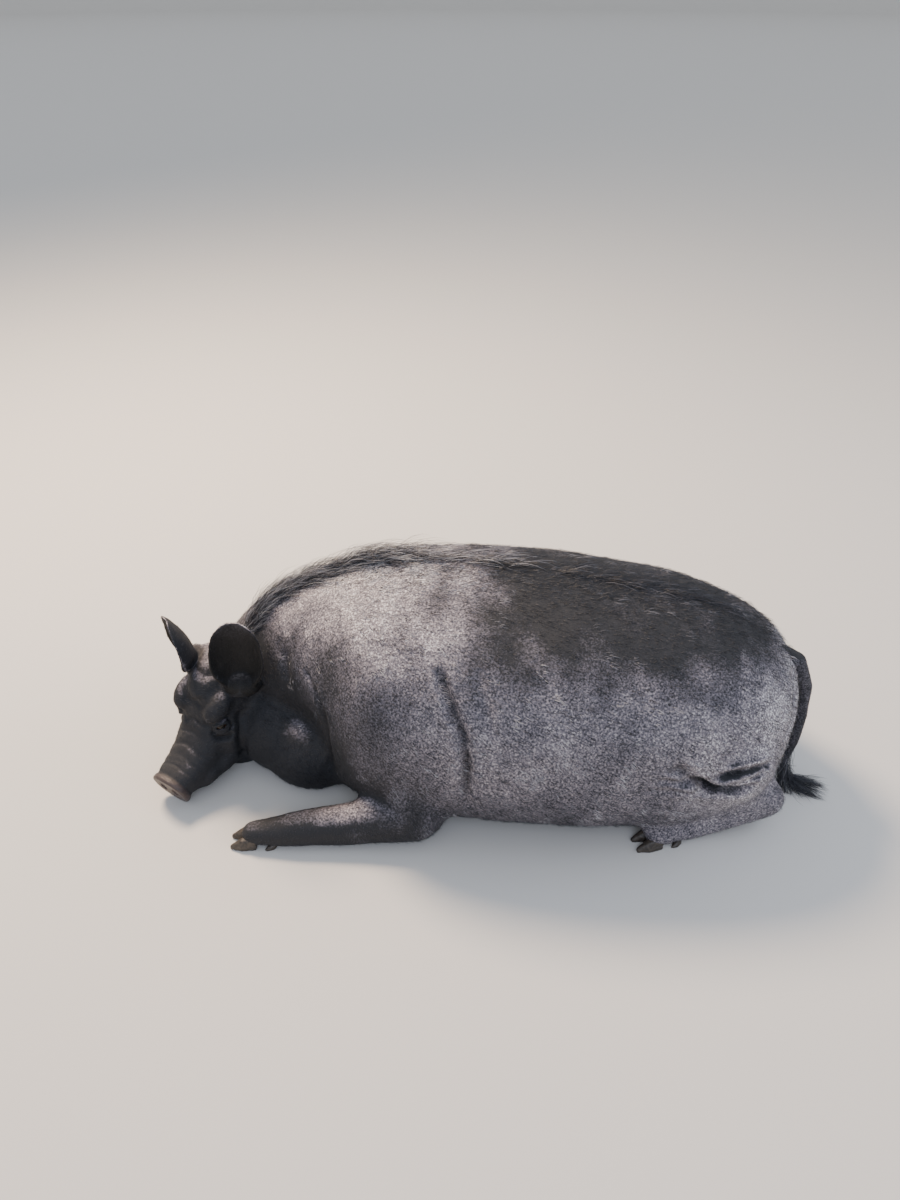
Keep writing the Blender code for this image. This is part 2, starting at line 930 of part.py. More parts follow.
def surface_of(target):
    """A tree of target's faces, for finding the nearest place on it."""
    shape = bmesh.new()
    shape.from_mesh(target.data)
    tree = BVHTree.FromBMesh(shape)
    shape.free()
    return tree


def lock(root, out, along, length, rise, width, collection):
    """A flat tapered lock, sunk at its root, that rises out of the skin and bends along it."""
    out, along = out.normalized(), along.normalized()
    aside = out.cross(along).normalized()
    rings = []
    for share, lift, wide, thick in LOCK_STATIONS:
        middle = root + along * length * share + out * (rise * lift - LOCK_SUNK * (1 - share))
        half = aside * width * wide / 2
        deep = out * LOCK_THICK * thick / 2
        rings.append([middle + half, middle + deep, middle - half, middle - deep])
    return loft("lock", rings, collection)


def spine(tree):
    """Places along the top of the body from the poll to the hips, with the way back and out."""
    tops = []
    for station in body_rows()[::-1]:
        _, _, up = facing(station.yaw, station.pitch)
        tops.append(Vector((station.x, station.y, station.z)) + up * station.up)
    tops = tops[:-MANE_FROM]
    found = []
    waiting = 0.0
    for one, other in zip(tops, tops[1:]):
        span = (other - one).length
        while waiting < span:
            spot = tree.find_nearest(one.lerp(other, waiting / span))
            found.append((spot[0], (other - one).normalized(), spot[1]))
            waiting += MANE_STEP
        waiting -= span
    return found


def mane(surface, collection):
    """The locks of the mane on the neck and back, longest over the shoulders."""
    tree = surface_of(surface)
    draw = random.Random(LOCK_SEED)
    places = spine(tree)
    shares = np.linspace(0, 1, len(places))
    lengths = np.interp(shares, np.linspace(0, 1, len(MANE_LENGTHS)), MANE_LENGTHS)
    rises = np.interp(shares, np.linspace(0, 1, len(MANE_RISES)), MANE_RISES)
    made = []
    for index, (spot, back, out) in enumerate(places):
        aside = out.cross(back).normalized()
        column = MANE_COLUMNS[index % len(MANE_COLUMNS)]
        shift = column + draw.uniform(-0.003, 0.003)
        root, normal, _, _ = tree.find_nearest(spot + aside * shift)
        turn = math.radians(MANE_SPREAD) * shift / max(MANE_COLUMNS) + draw.uniform(-0.1, 0.1)
        along = back * math.cos(turn) + aside * math.sin(turn)
        along = along - normal * along.dot(normal)
        length = lengths[index] * draw.uniform(0.88, 1.12)
        rise = rises[index] * draw.uniform(0.8, 1.2)
        width = MANE_WIDTH * draw.uniform(0.88, 1.12)
        made.append(lock(root, normal, along, length, rise, width, collection))
    return made


def poll_locks(surface, collection):
    """The short locks between the ears, which lie back towards the neck."""
    tree = surface_of(surface)
    made = []
    for f, l in POLL_LOCKS:
        root, normal, _, _ = tree.find_nearest(head_point(f, l, SKULL[2].top))
        back = head_way(-1, l * 6, 0)
        back = back - normal * back.dot(normal)
        made.append(
            lock(root, normal, back, POLL_LOCK_LENGTH, POLL_LOCK_RISE, POLL_LOCK_WIDTH, collection)
        )
    return made


def switch_locks(collection):
    """The locks of the tail's end, fanned out over the floor."""
    end, tip = (Vector((joint.x, joint.y, joint.z)) for joint in TAIL[-2:])
    along = (tip - end).normalized()
    aside = WORLD[2].cross(along).normalized()
    draw = random.Random(LOCK_SEED)
    made = []
    for index in range(SWITCH_LOCKS):
        fan = 2 * index / (SWITCH_LOCKS - 1) - 1
        turn = fan * SWITCH_SPREAD + draw.uniform(-0.05, 0.05)
        heading = along * math.cos(turn) + aside * math.sin(turn)
        heading.z = draw.uniform(-0.12, 0.06)
        root = end.lerp(tip, draw.uniform(0.3, 0.8)) + aside * fan * TAIL[-1].radius * 0.6
        out = WORLD[2] + aside * fan * 0.3
        length = SWITCH_LENGTH * (1.0 - 0.2 * abs(fan)) * draw.uniform(0.9, 1.1)
        made.append(lock(root, out, heading, length, SWITCH_RISE, SWITCH_WIDTH, collection))
    return made


def with_locks(target, locks):
    """Target fused with all its locks at once, of which only the largest surface is kept."""
    tufts = make_collection("tufts")
    for piece in locks:
        for owner in list(piece.users_collection):
            owner.objects.unlink(piece)
        tufts.objects.link(piece)
    home = target.users_collection[0]
    boolean = target.modifiers.new("locks", "BOOLEAN")
    boolean.operation = "UNION"
    boolean.operand_type = "COLLECTION"
    boolean.collection = tufts
    boolean.solver = FINE_SOLVER
    target = evaluated(target, target.name, home)
    for piece in locks:
        bpy.data.objects.remove(piece)
    bpy.data.collections.remove(tufts)
    return keep_largest(target)


def eye_frame(side):
    """Out of the eye, along its slit and across its slit, in world directions."""
    out = head_way(*on_side(EYE_OUT, side)).normalized()
    along = HEAD_FRAME[2].cross(out).normalized()
    along = Matrix.Rotation(math.radians(LID_SLANT * -side), 3, out) @ along
    return out, along, out.cross(along)


def eye_ball(name, side, grow, collection):
    radii = (EYE_RADIUS + grow,) * 3
    centre = head_point(*on_side(EYE_AT, side))
    return ball(name, centre, radii, HEAD_FRAME, collection, segments=14, rings=9)


def lid_opening(side, collection):
    """The almond between the lids."""
    frame = eye_frame(side)
    centre = head_point(*on_side(EYE_AT, side)) + frame[0] * EYE_RADIUS
    return ball("opening", centre, LID_OPENING, frame, collection, segments=12, rings=8)


def nostril(side, collection):
    forward, left, up = snout_frame()
    centre = head_point(*SNOUT_AT) + forward * SNOUT_THICK * 0.35 + left * NOSTRIL_ASIDE * side
    return ball(
        "nostril", centre, NOSTRIL_RADII, (forward, left, up), collection, segments=12, rings=8
    )


def mouth_line(target, collection):
    """A thin tube lying in the surface from one corner of the mouth round to the other."""
    surface = surface_of(target)
    half = spline_rows(MOUTH_LINE, MOUTH_STEPS)
    rows = [on_side(row, -1) for row in half[::-1]] + [tuple(row) for row in half[1:]]
    points = [surface.find_nearest(head_point(*row))[0] for row in rows]
    data = bpy.data.curves.new("mouth_line", "CURVE")
    data.dimensions = "3D"
    data.bevel_depth = MOUTH_HALF_DEPTH
    data.bevel_resolution = 1
    data.use_fill_caps = True
    spline = data.splines.new("POLY")
    spline.points.add(len(points) - 1)
    for slot, point in zip(spline.points, points):
        slot.co = (*point, 1)
    tube = place("mouth_line", data, collection)
    return welded(evaluated(tube, "mouth_line", collection))


def welded(target):
    """Joins the loose caps of a tube to its sides."""
    shape = bmesh.new()
    shape.from_mesh(target.data)
    bmesh.ops.remove_doubles(shape, verts=shape.verts, dist=1e-5)
    bmesh.ops.recalc_face_normals(shape, faces=shape.faces)
    shape.to_mesh(target.data)
    shape.free()
    return target


def head(fine, collection):
    box = head_box(0, collection)
    made = combined(copied(fine, "head", collection), "INTERSECT", [box], collection)
    keep_largest(made)
    lids = [eye_ball("lid_ball", side, LID_THICK, collection) for side in (1, -1)]
    made = combined(made, "UNION", [snout_plate(collection), *lids], collection)
    cuts = [mouth_line(made, collection)]
    for side in (1, -1):
        cuts.append(lid_opening(side, collection))
        cuts.append(eye_ball("socket", side, GAP, collection))
        cuts.append(nostril(side, collection))
    made = keep_largest(combined(made, "DIFFERENCE", cuts, collection, FINE_SOLVER))
    return with_locks(made, poll_locks(made, collection))


def grown(source, name, distance, collection):
    """A copy of source with its surface moved out."""
    made = copied(source, name, collection)
    points = coordinates(made)
    normals = np.empty(len(points) * 3)
    made.data.vertex_normals.foreach_get("vector", normals)
    points += normals.reshape(-1, 3) * distance
    made.data.vertices.foreach_set("co", points.ravel())
    made.data.update()
    return made


def ear(side, surface, collection):
    """A cupped sheet with thickness, cut to sit on the head."""
    rise = head_way(*EAR_RISES[side]).normalized()
    face = head_way(*EAR_FACES[side])
    face = (face - rise * face.dot(rise)).normalized()
    across = rise.cross(face)
    root = head_point(*on_side(EAR_ROOT, side))
    shape = bmesh.new()
    rows = []
    for row in range(EAR_ROWS):
        share = row / (EAR_ROWS - 1)
        along = -EAR_BURIED + share * (1 + EAR_BURIED)
        if along < EAR_WIDEST:
            rising = max(0.0, along / EAR_WIDEST)
            width = EAR_ROOT_SHARE + (1 - EAR_ROOT_SHARE) * math.sin(rising * math.pi / 2)
        else:
            tapered = 1 - ((along - EAR_WIDEST) / (1 - EAR_WIDEST)) ** EAR_TIP_POWER
            width = math.sqrt(max(EAR_TIP_LEAST, tapered))
        cup = math.radians(EAR_BASE_CUP + (EAR_TIP_CUP - EAR_BASE_CUP) * min(1, max(0, along)))
        radius = EAR_HALF_WIDTH * width / math.sin(cup)
        bend = EAR_BEND * math.sin(math.pi * share)
        middle = root + rise * EAR_LENGTHS[side] * along - face * bend
        verts = []
        for column in range(EAR_COLUMNS):
            turn = cup * (2 * column / (EAR_COLUMNS - 1) - 1)
            place_on_arc = across * math.sin(turn) + face * (1 - math.cos(turn))
            verts.append(shape.verts.new(middle + place_on_arc * radius))
        rows.append(verts)
    for one, other in zip(rows, rows[1:]):
        for index in range(EAR_COLUMNS - 1):
            shape.faces.new((one[index], one[index + 1], other[index + 1], other[index]))
    mesh = bpy.data.meshes.new("ear")
    shape.to_mesh(mesh)
    shape.free()
    sheet = place("ear", mesh, collection)
    thicken = sheet.modifiers.new("thicken", "SOLIDIFY")
    thicken.thickness = EAR_THICK
    thicken.offset = 0
    made = evaluated(sheet, "ear", collection)
    cutter = grown(surface, "ear_cutter", GAP, collection)
    return keep_largest(combined(made, "DIFFERENCE", [cutter], collection))


def claw(name, size, grow, collection):
    """A blunt wedge of horn with a flat sole, its back at the origin and its tip along +X."""
    length, width, height = size
    shape = bmesh.new()
    for along, half, tall in CLAW_RINGS:
        x = length * along + grow * (2 * along - 1)
        for side in (1, -1):
            shape.verts.new((x, side * (width / 2 * half + grow), -grow))
            shape.verts.new((x, side * (width / 2 * half + grow), height * tall * 0.55 + grow))
            shape.verts.new((x, side * (width / 4 * half + grow), height * tall + grow))
    return hulled(name, shape, collection)


def claw_places(chain, side):
    """Where each claw of a foot goes: its name's ending, size and matrix."""
    before, toe = mirrored(chain, side)[-2:]
    heading = math.atan2(toe.y - before.y, toe.x - before.x)
    turn = Matrix.Rotation(heading, 4, "Z")
    foot = Matrix.Translation((toe.x, toe.y, 0)) @ turn
    ankle = Matrix.Translation((before.x, before.y, 0)) @ turn
    apart = CLAW_SIZE[1] / 2 + CLAW_APART / 2
    found = []
    for which, way in (("outer", side), ("inner", -side)):
        claw_at = foot @ Matrix.Translation((-CLAW_SUNK, way * apart, 0))
        found.append((f"claw_{which}", CLAW_SIZE, claw_at))
        dew_turn = Matrix.Rotation(math.radians(DEWCLAW_TURN) * way, 4, "Z")
        dew_at = ankle @ Matrix.Translation((DEWCLAW_AHEAD, way * DEWCLAW_ASIDE, 0))
        found.append((f"dewclaw_{which}", DEWCLAW_SIZE, dew_at @ dew_turn))
    return found


def placed_claws(chain, side, grow, collection):
    made = []
    for name, size, matrix in claw_places(chain, side):
        piece = claw(name, size, grow, collection)
        piece.data.transform(matrix)
        made.append(piece)
    return made


def leg(chain, side, coarse, collection):
    """The flesh inside a limb's round cutter, with room left for its claws."""
    round_limb = limb_cutter(mirrored(chain, side), 0, collection)
    made = combined(copied(coarse, "leg", collection), "INTERSECT", [round_limb], collection)
    keep_largest(made)
    rooms = placed_claws(chain, side, GAP, collection)
    return keep_largest(combined(made, "DIFFERENCE", rooms, collection))


def tail(surface, collection):
    pieces = limb("tail", TAIL, collection)
    whole = fused("tail_whole", pieces, TAIL_VOXEL, TAIL_SOFTENING, collection)
    made = decimated(whole, "tail", TAIL_TRIANGLES, collection)
    bpy.data.objects.remove(whole)
    made = with_locks(made, switch_locks(collection))
    cuts = [floor_box(collection), grown(surface, "tail_cutter", GAP, collection)]
    return keep_largest(combined(made, "DIFFERENCE", cuts, collection, FINE_SOLVER))


def build_body(parts):
    """Head, neck, torso and legs, parted from one surface, and what sits on them."""
    whole = flesh(parts)
    fine = decimated(whole, "fine", FINE_TRIANGLES, parts)
    coarse = decimated(whole, "coarse", COARSE_TRIANGLES, parts)
    bpy.data.objects.remove(whole)
    sides = {"left": 1, "right": -1}
    for side_name, side in sides.items():
        finish(ear(side, fine, parts), f"ear_{side_name}", HIDE_DARK)
        finish(eye_ball("eye", side, 0, parts), f"eye_{side_name}", EYE_BROWN)
    finish(tail(coarse, parts), "tail", HIDE_DARK)

    fine = combined(fine, "DIFFERENCE", [floor_box(parts)], parts)
    coarse = combined(coarse, "DIFFERENCE", [floor_box(parts)], parts)
    finish(head(fine, parts), "head", HIDE)
    bpy.data.objects.remove(fine)

    chains = {"foreleg": FORELEG, "hindleg": HINDLEG}
    for limb_name, chain in chains.items():
        for side_name, side in sides.items():
            made = leg(chain, side, coarse, parts)
            finish(made, f"{limb_name}_{side_name}", HIDE_DARK)
            for piece in placed_claws(chain, side, 0, parts):
                name = f"{limb_name}_{side_name}_{piece.name.split('.')[0]}"
                finish(piece, name, HOOF_HORN)

    maned = with_locks(coarse, mane(coarse, parts))
    neck = copied(maned, "neck", parts)
    neck = combined(neck, "INTERSECT", [front_box(0, parts)], parts, FINE_SOLVER)
    cuts = [head_box(GAP, parts)]
    cuts += [limb_cutter(mirrored(FORELEG, side), GAP, parts) for side in (1, -1)]
    neck = keep_largest(combined(neck, "DIFFERENCE", cuts, parts, FINE_SOLVER))
    finish(neck, "neck", HIDE)

    cuts = [front_box(GAP, parts)]
    for chain in chains.values():
        cuts += [limb_cutter(mirrored(chain, side), GAP, parts) for side in (1, -1)]
    torso = keep_largest(combined(maned, "DIFFERENCE", cuts, parts, FINE_SOLVER))
    finish(torso, "torso", HIDE)


def stand_on_origin(parts):
    """Hangs every piece on an empty that brings the middle of the outline to the origin."""
    bounds = np.vstack([coordinates(piece) for piece in parts.objects])
    low, high = bounds.min(axis=0), bounds.max(axis=0)
    root = bpy.data.objects.new("pig_root", None)
    root.location = (-(low[0] + high[0]) / 2, -(low[1] + high[1]) / 2, -low[2])
    for piece in list(parts.objects):
        piece.parent = root
    parts.objects.link(root)


def main():
    clear_scene()
    parts = make_collection("pot_bellied_pig")
    build_body(parts)
    stand_on_origin(parts)


if __name__ == "__main__":
    main()
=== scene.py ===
"""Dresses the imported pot-bellied pig: skin, bristles, mane, eyes, claws, stage and camera.

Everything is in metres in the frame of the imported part: the head end points along -X, the pig's
left side faces -Y and the floor is z = 0. The skin is grown from the same sizes as the solids, a
coat's depth inside them, and every bristle is a closed mesh that is rooted in it.
"""

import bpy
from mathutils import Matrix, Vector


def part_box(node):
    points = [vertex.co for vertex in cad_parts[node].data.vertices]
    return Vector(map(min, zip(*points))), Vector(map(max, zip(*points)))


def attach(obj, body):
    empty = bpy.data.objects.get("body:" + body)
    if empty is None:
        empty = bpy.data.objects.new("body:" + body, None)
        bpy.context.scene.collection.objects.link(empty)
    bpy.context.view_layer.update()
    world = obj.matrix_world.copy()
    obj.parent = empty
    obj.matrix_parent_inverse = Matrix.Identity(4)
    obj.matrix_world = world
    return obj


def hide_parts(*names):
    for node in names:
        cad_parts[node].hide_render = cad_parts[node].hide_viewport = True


bl_info = {
    "name": "Pot-bellied pig",
    "version": (1, 0, 0),
    "blender": (4, 5, 0),
    "location": "View3D > Sidebar > Pig",
    "description": "Skin, bristles, mane, eyes and claws of a life-size pot-bellied pig",
    "category": "Object",
}

import math
from collections import namedtuple

import bmesh
import bpy
import numpy as np
from mathutils import Matrix, Vector, kdtree, noise
from mathutils.bvhtree import BVHTree

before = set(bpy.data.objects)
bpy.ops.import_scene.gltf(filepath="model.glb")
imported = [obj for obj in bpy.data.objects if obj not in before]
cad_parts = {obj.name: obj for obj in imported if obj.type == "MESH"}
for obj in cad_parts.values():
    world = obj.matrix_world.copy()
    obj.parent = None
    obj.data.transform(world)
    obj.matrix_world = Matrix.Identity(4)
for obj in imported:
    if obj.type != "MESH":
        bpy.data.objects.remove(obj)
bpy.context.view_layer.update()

# Body: one loft from the rump to the nape. A station is the widest level of a section, the way
# it faces in degrees, and the reach of the section to the left, right, up and down from there.
Station = namedtuple("Station", "x y z yaw pitch left right up down")
BODY = (
    Station(0.574, 0.004, 0.165, 0, 0, 0.020, 0.020, 0.030, 0.030),
    Station(0.566, 0.004, 0.160, 0, 0, 0.068, 0.068, 0.074, 0.085),
    Station(0.538, 0.004, 0.156, 0, 0, 0.124, 0.124, 0.124, 0.130),
    Station(0.478, 0.004, 0.155, 0, 0, 0.182, 0.182, 0.166, 0.165),
    Station(0.385, 0.004, 0.158, 0, 0, 0.221, 0.221, 0.193, 0.180),
    Station(0.265, 0.004, 0.160, 0, 0, 0.243, 0.243, 0.209, 0.180),
    Station(0.120, 0.004, 0.164, 0, 0, 0.250, 0.250, 0.218, 0.185),
    Station(-0.020, 0.004, 0.168, 0, 0, 0.241, 0.241, 0.217, 0.188),
    Station(-0.130, 0.006, 0.170, 4, 0, 0.222, 0.222, 0.202, 0.190),
    Station(-0.215, 0.010, 0.166, 14, 0, 0.197, 0.190, 0.172, 0.185),
    Station(-0.285, 0.014, 0.156, 28, 6, 0.172, 0.158, 0.136, 0.175),
    Station(-0.335, 0.008, 0.146, 42, 14, 0.136, 0.118, 0.094, 0.165),
    Station(-0.372, -0.008, 0.138, 54, 24, 0.096, 0.086, 0.060, 0.130),
)
BODY_MIDDLE_Y = 0.004
BODY_STEPS = 5
BODY_SIDES = 56
ROUND_ABOVE = 2.25
ROUND_BELOW = 2.55

# Head: its own frame has f along the muzzle, l to the pig's left and u up from the skull's base.
HEAD_AT = (-0.380, 0.004, 0.157)
HEAD_YAW = 63
HEAD_PITCH = 30
HEAD_ROLL = 2
HEAD_STEPS = 4
HEAD_SIDES = 36

# Skull and jaw sections: f, half width, top and bottom.
Section = namedtuple("Section", "f half top bottom")
SKULL = (
    Section(-0.060, 0.030, 0.030, -0.030),
    Section(-0.045, 0.058, 0.054, -0.070),
    Section(-0.010, 0.070, 0.074, -0.084),
    Section(0.030, 0.069, 0.084, -0.084),
    Section(0.062, 0.063, 0.083, -0.078),
    Section(0.092, 0.057, 0.067, -0.070),
    Section(0.118, 0.052, 0.046, -0.062),
    Section(0.144, 0.048, 0.031, -0.053),
    Section(0.170, 0.044, 0.023, -0.046),
    Section(0.196, 0.041, 0.021, -0.041),
    Section(0.218, 0.038, 0.023, -0.036),
    Section(0.230, 0.032, 0.019, -0.030),
)
JAW = (
    Section(-0.020, 0.040, -0.040, -0.090),
    Section(0.010, 0.070, -0.035, -0.112),
    Section(0.050, 0.076, -0.035, -0.116),
    Section(0.090, 0.066, -0.036, -0.106),
    Section(0.125, 0.051, -0.038, -0.092),
    Section(0.158, 0.040, -0.038, -0.080),
    Section(0.186, 0.033, -0.038, -0.070),
    Section(0.204, 0.026, -0.039, -0.062),
    Section(0.213, 0.012, -0.042, -0.054),
)
POLL_SECTIONS = 5

# Rounded volumes: centre and radii along f, l and u, with another on the right for each that is
# beside the middle. They are the cheeks, the brows, the forehead, the upper lips at their back
# and front, and the ears' roots.
Volume = namedtuple("Volume", "f l u along across tall")
FACE_VOLUMES = (
    Volume(0.094, 0.046, -0.018, 0.046, 0.026, 0.036),
    Volume(0.080, 0.036, 0.052, 0.038, 0.025, 0.023),
    Volume(0.048, 0.000, 0.075, 0.044, 0.032, 0.015),
    Volume(0.138, 0.038, -0.038, 0.040, 0.022, 0.021),
    Volume(0.176, 0.029, -0.029, 0.036, 0.023, 0.018),
    Volume(0.012, 0.048, 0.052, 0.026, 0.024, 0.015),
)

# The fat of the jowls and throat, softened into the neck with the body. The left jowl is bunched
# on the inside of the neck's bend, and the right one is drawn out.
JOWL_VOLUMES = (
    Volume(0.030, 0.082, -0.078, 0.104, 0.072, 0.094),
    Volume(0.004, -0.058, -0.076, 0.094, 0.062, 0.086),
    Volume(-0.030, 0.000, -0.095, 0.090, 0.120, 0.090),
    Volume(0.095, 0.000, -0.095, 0.060, 0.060, 0.055),
)

# Rolls of fat that fill in beside the throat, near the floor: centre and radii.
THROAT_ROLLS = (
    ((-0.245, -0.068, 0.056), (0.096, 0.084, 0.080)),
    ((-0.300, 0.100, 0.050), (0.090, 0.080, 0.066)),
)

# Snout: a short turned plate, its top tilted back, with two nostrils.
SNOUT_AT = (0.232, 0.0, -0.004)
SNOUT_HALF_WIDTH = 0.0375
SNOUT_HALF_HEIGHT = 0.0310
SNOUT_THICK = 0.020
SNOUT_TILT = -12
SNOUT_SIDES = 48
SNOUT_PROFILE = (
    (-1.00, 0.86),
    (-0.30, 0.98),
    (0.30, 1.00),
    (0.56, 0.97),
    (0.70, 0.90),
    (0.66, 0.78),
    (0.60, 0.50),
)
NOSTRIL_ASIDE = 0.0140
NOSTRIL_HALF_WIDTH = 0.0058
NOSTRIL_HALF_HEIGHT = 0.0085
NOSTRIL_DEPTH = 0.012
NOSTRIL_RIM_AT = 1.40
NOSTRIL_RIM_WIDTH = 0.26
NOSTRIL_RIM_HEIGHT = 0.0009

# Mouth: the line from under the snout to the corner, in the head's frame.
MOUTH_LINE = (
    (0.224, 0.000, -0.036),
    (0.206, 0.026, -0.040),
    (0.174, 0.042, -0.046),
    (0.140, 0.054, -0.054),
    (0.116, 0.064, -0.056),
)

# Eyes: a ball in a socket, with an almond opening between thick lids.
EYE_AT = (0.104, 0.0425, 0.0290)
EYE_OUT = (0.45, 0.80, 0.30)
EYE_RADIUS = 0.0115
LID_THICK = 0.0028
LID_HALF_LENGTH = 0.0098
LID_HALF_OPEN = 0.0046
LID_SLANT = 18
LID_EDGE = (-0.0004, 0.0009)
LID_REACH = 0.026
BEHIND_EYE = 0.35
# Folds about each eye: the reach from its middle, the depth, and the turns from end to end.
LID_FOLDS = (
    (0.0165, 0.0026, (15, 165)),
    (0.0165, 0.0026, (195, 345)),
    (0.0225, 0.0032, (200, 335)),
)
LID_FOLD_POINTS = 7
LID_FOLD_FLATNESS = 0.72

# Ears: a cupped sheet from below its root to a rounded tip. Each is turned in its own way.
EAR_ROOT = (0.026, 0.056, 0.062)
EAR_LENGTHS = {1: 0.128, -1: 0.108}
EAR_BURIED = 0.12
EAR_HALF_WIDTH = 0.043
EAR_WIDEST = 0.42
EAR_ROOT_SHARE = 0.50
EAR_ROOT_NARROWING = 4.0
EAR_BASE_CUP = 92
EAR_TIP_CUP = 30
EAR_BEND = 0.010
EAR_TIP_POWER = 2.6
EAR_TIP_LEAST = 0.06
EAR_RISES = {1: (-0.44, 0.10, 0.89), -1: (-0.17, 0.00, 0.98)}
EAR_FACES = {1: (0.78, 0.58, 0.10), -1: (0.86, -0.48, 0.10)}
EAR_ROWS = 40
EAR_COLUMNS = 25
EAR_THICK = 0.0048
EAR_RIM_THICK = 0.0034
# How dark the painted shade in the ears' cups is.
EAR_CUP_SHADE = 0.92
EAR_ROOT_RADII = (0.022, 0.026, 0.035)
EAR_ROOT_DROP = 0.010
EAR_SOFTENED = 0.050
EAR_SOFTENING = 14

# Limbs: chains of joints, each a point and a radius, for the left side on -Y.
Joint = namedtuple("Joint", "x y z radius")
FORELEG = (
    Joint(-0.050, -0.140, 0.125, 0.085),
    Joint(-0.045, -0.203, 0.050, 0.050),
    Joint(-0.150, -0.222, 0.034, 0.038),
    Joint(-0.230, -0.234, 0.029, 0.033),
    Joint(-0.285, -0.242, 0.023, 0.027),
    Joint(-0.312, -0.246, 0.022, 0.025),
)
HINDLEG = (
    Joint(0.440, -0.118, 0.150, 0.092),
    Joint(0.400, -0.135, 0.100, 0.060),
    Joint(0.530, -0.126, 0.056, 0.035),
    Joint(0.415, -0.162, 0.025, 0.030),
    Joint(0.375, -0.178, 0.023, 0.026),
    Joint(0.348, -0.188, 0.022, 0.025),
)

# Tail: hangs close down the rump from a root sunk into it, and its end lies on the floor.
TAIL = (
    Joint(0.522, 0.000, 0.256, 0.028),
    Joint(0.562, -0.004, 0.252, 0.017),
    Joint(0.584, -0.012, 0.206, 0.013),
    Joint(0.588, -0.022, 0.152, 0.011),
    Joint(0.583, -0.032, 0.100, 0.010),
    Joint(0.576, -0.038, 0.056, 0.009),
    Joint(0.584, -0.042, 0.022, 0.008),
    Joint(0.606, -0.046, 0.012, 0.007),
)

# Folds of skin: how deep and how wide, how high the rims stand, and a few points to follow.
Fold = namedtuple("Fold", "depth width rim line")
NECK_FOLDS = (
    # The deep fold before the shoulder.
    Fold(0.012, 0.0070, 0.004, (
        (-0.238, -0.098, 0.257), (-0.208, -0.137, 0.212), (-0.195, -0.145, 0.126), (-0.196, -0.131, 0.060),
    )),
    # A shallow one behind the ear.
    Fold(0.005, 0.010, 0.002, ((-0.296, -0.041, 0.265), (-0.280, -0.069, 0.246), (-0.272, -0.085, 0.205))),
)
SIDE_FOLDS = (
    # Behind the elbow.
    Fold(0.012, 0.0070, 0.004, (
        (-0.015, -0.168, 0.332), (0.009, -0.202, 0.297), (0.036, -0.236, 0.230), (0.036, -0.236, 0.110),
    )),
    # A shallow one beside it.
    Fold(0.004, 0.010, 0.002, ((0.048, -0.167, 0.336), (0.072, -0.224, 0.262))),
    # The pocket between flank and ham.
    Fold(0.018, 0.0090, 0.005, (
        (0.350, -0.221, 0.212), (0.395, -0.213, 0.168), (0.425, -0.204, 0.150), (0.482, -0.191, 0.155),
    )),
    # The ham's upper fold, and a wrinkle below it.
    Fold(0.008, 0.0050, 0.003, ((0.397, -0.213, 0.176), (0.459, -0.192, 0.184), (0.505, -0.169, 0.180))),
    Fold(0.006, 0.005, 0.002, ((0.440, -0.201, 0.164), (0.496, -0.178, 0.174))),
    # The upper and the lower wrinkle of the belly.
    Fold(0.005, 0.005, 0.002, ((0.325, -0.230, 0.184), (0.400, -0.210, 0.171))),
    Fold(0.005, 0.005, 0.002, ((0.310, -0.232, 0.164), (0.405, -0.210, 0.150))),
    # Beside the tail.
    Fold(0.007, 0.012, 0.002, ((0.550, -0.036, 0.262), (0.552, -0.070, 0.225), (0.536, -0.120, 0.180))),
)
FACE_FOLDS = (
    # Between cheek and jowl.
    Fold(0.008, 0.007, 0.003, (
        (0.070, 0.062, 0.021), (0.092, 0.068, 0.004), (0.113, 0.068, -0.014), (0.127, 0.056, -0.061),
    )),
    # Below the eye.
    Fold(0.006, 0.005, 0.002, ((0.128, 0.036, 0.030), (0.124, 0.052, 0.014), (0.106, 0.062, 0.010))),
    # Across the poll, above the brows, between the eyes and across the bridge of the nose.
    Fold(0.0026, 0.0080, 0.0012, ((0.034, 0.046, 0.084), (0.050, 0.000, 0.092))),
    Fold(0.0028, 0.0050, 0.0008, ((0.078, 0.040, 0.074), (0.100, 0.014, 0.066), (0.096, 0.000, 0.068))),
    Fold(0.0024, 0.0048, 0.0005, ((0.112, 0.040, 0.046), (0.124, 0.020, 0.042), (0.120, 0.000, 0.046))),
    Fold(0.0018, 0.0050, 0.0003, ((0.128, 0.046, 0.012), (0.142, 0.030, 0.028), (0.139, 0.000, 0.035))),
    # Across the muzzle, three times, shallower and closer towards the snout.
    Fold(0.0013, 0.0042, 0.0002, ((0.158, 0.044, -0.004), (0.166, 0.030, 0.016), (0.160, 0.000, 0.026))),
    Fold(0.0010, 0.0034, 0.0002, ((0.184, 0.040, -0.006), (0.186, 0.028, 0.014), (0.180, 0.000, 0.022))),
    Fold(0.0007, 0.0028, 0.0001, ((0.200, 0.038, -0.006), (0.203, 0.024, 0.014), (0.199, 0.000, 0.021))),
    # The mouth.
    Fold(0.0060, 0.0021, 0.0016, MOUTH_LINE),
)
FOLD_STEPS = 6
FOLD_REACH = 4
# The depth squared over width at which a fold's painted shade is whole.
FOLD_FOR_FULL_SHADE = 0.015
UNEVEN_FOLD = 0.030

# Lumps of fat, wrinkles of the hide and its grain: how large and how high.
FAT_SIZE, FAT_HEIGHT = 0.075, 0.0022
WRINKLE_SIZE, WRINKLE_HEIGHT = 0.017, 0.0008
GRAIN_SIZE, GRAIN_HEIGHT = 0.006, 0.00025

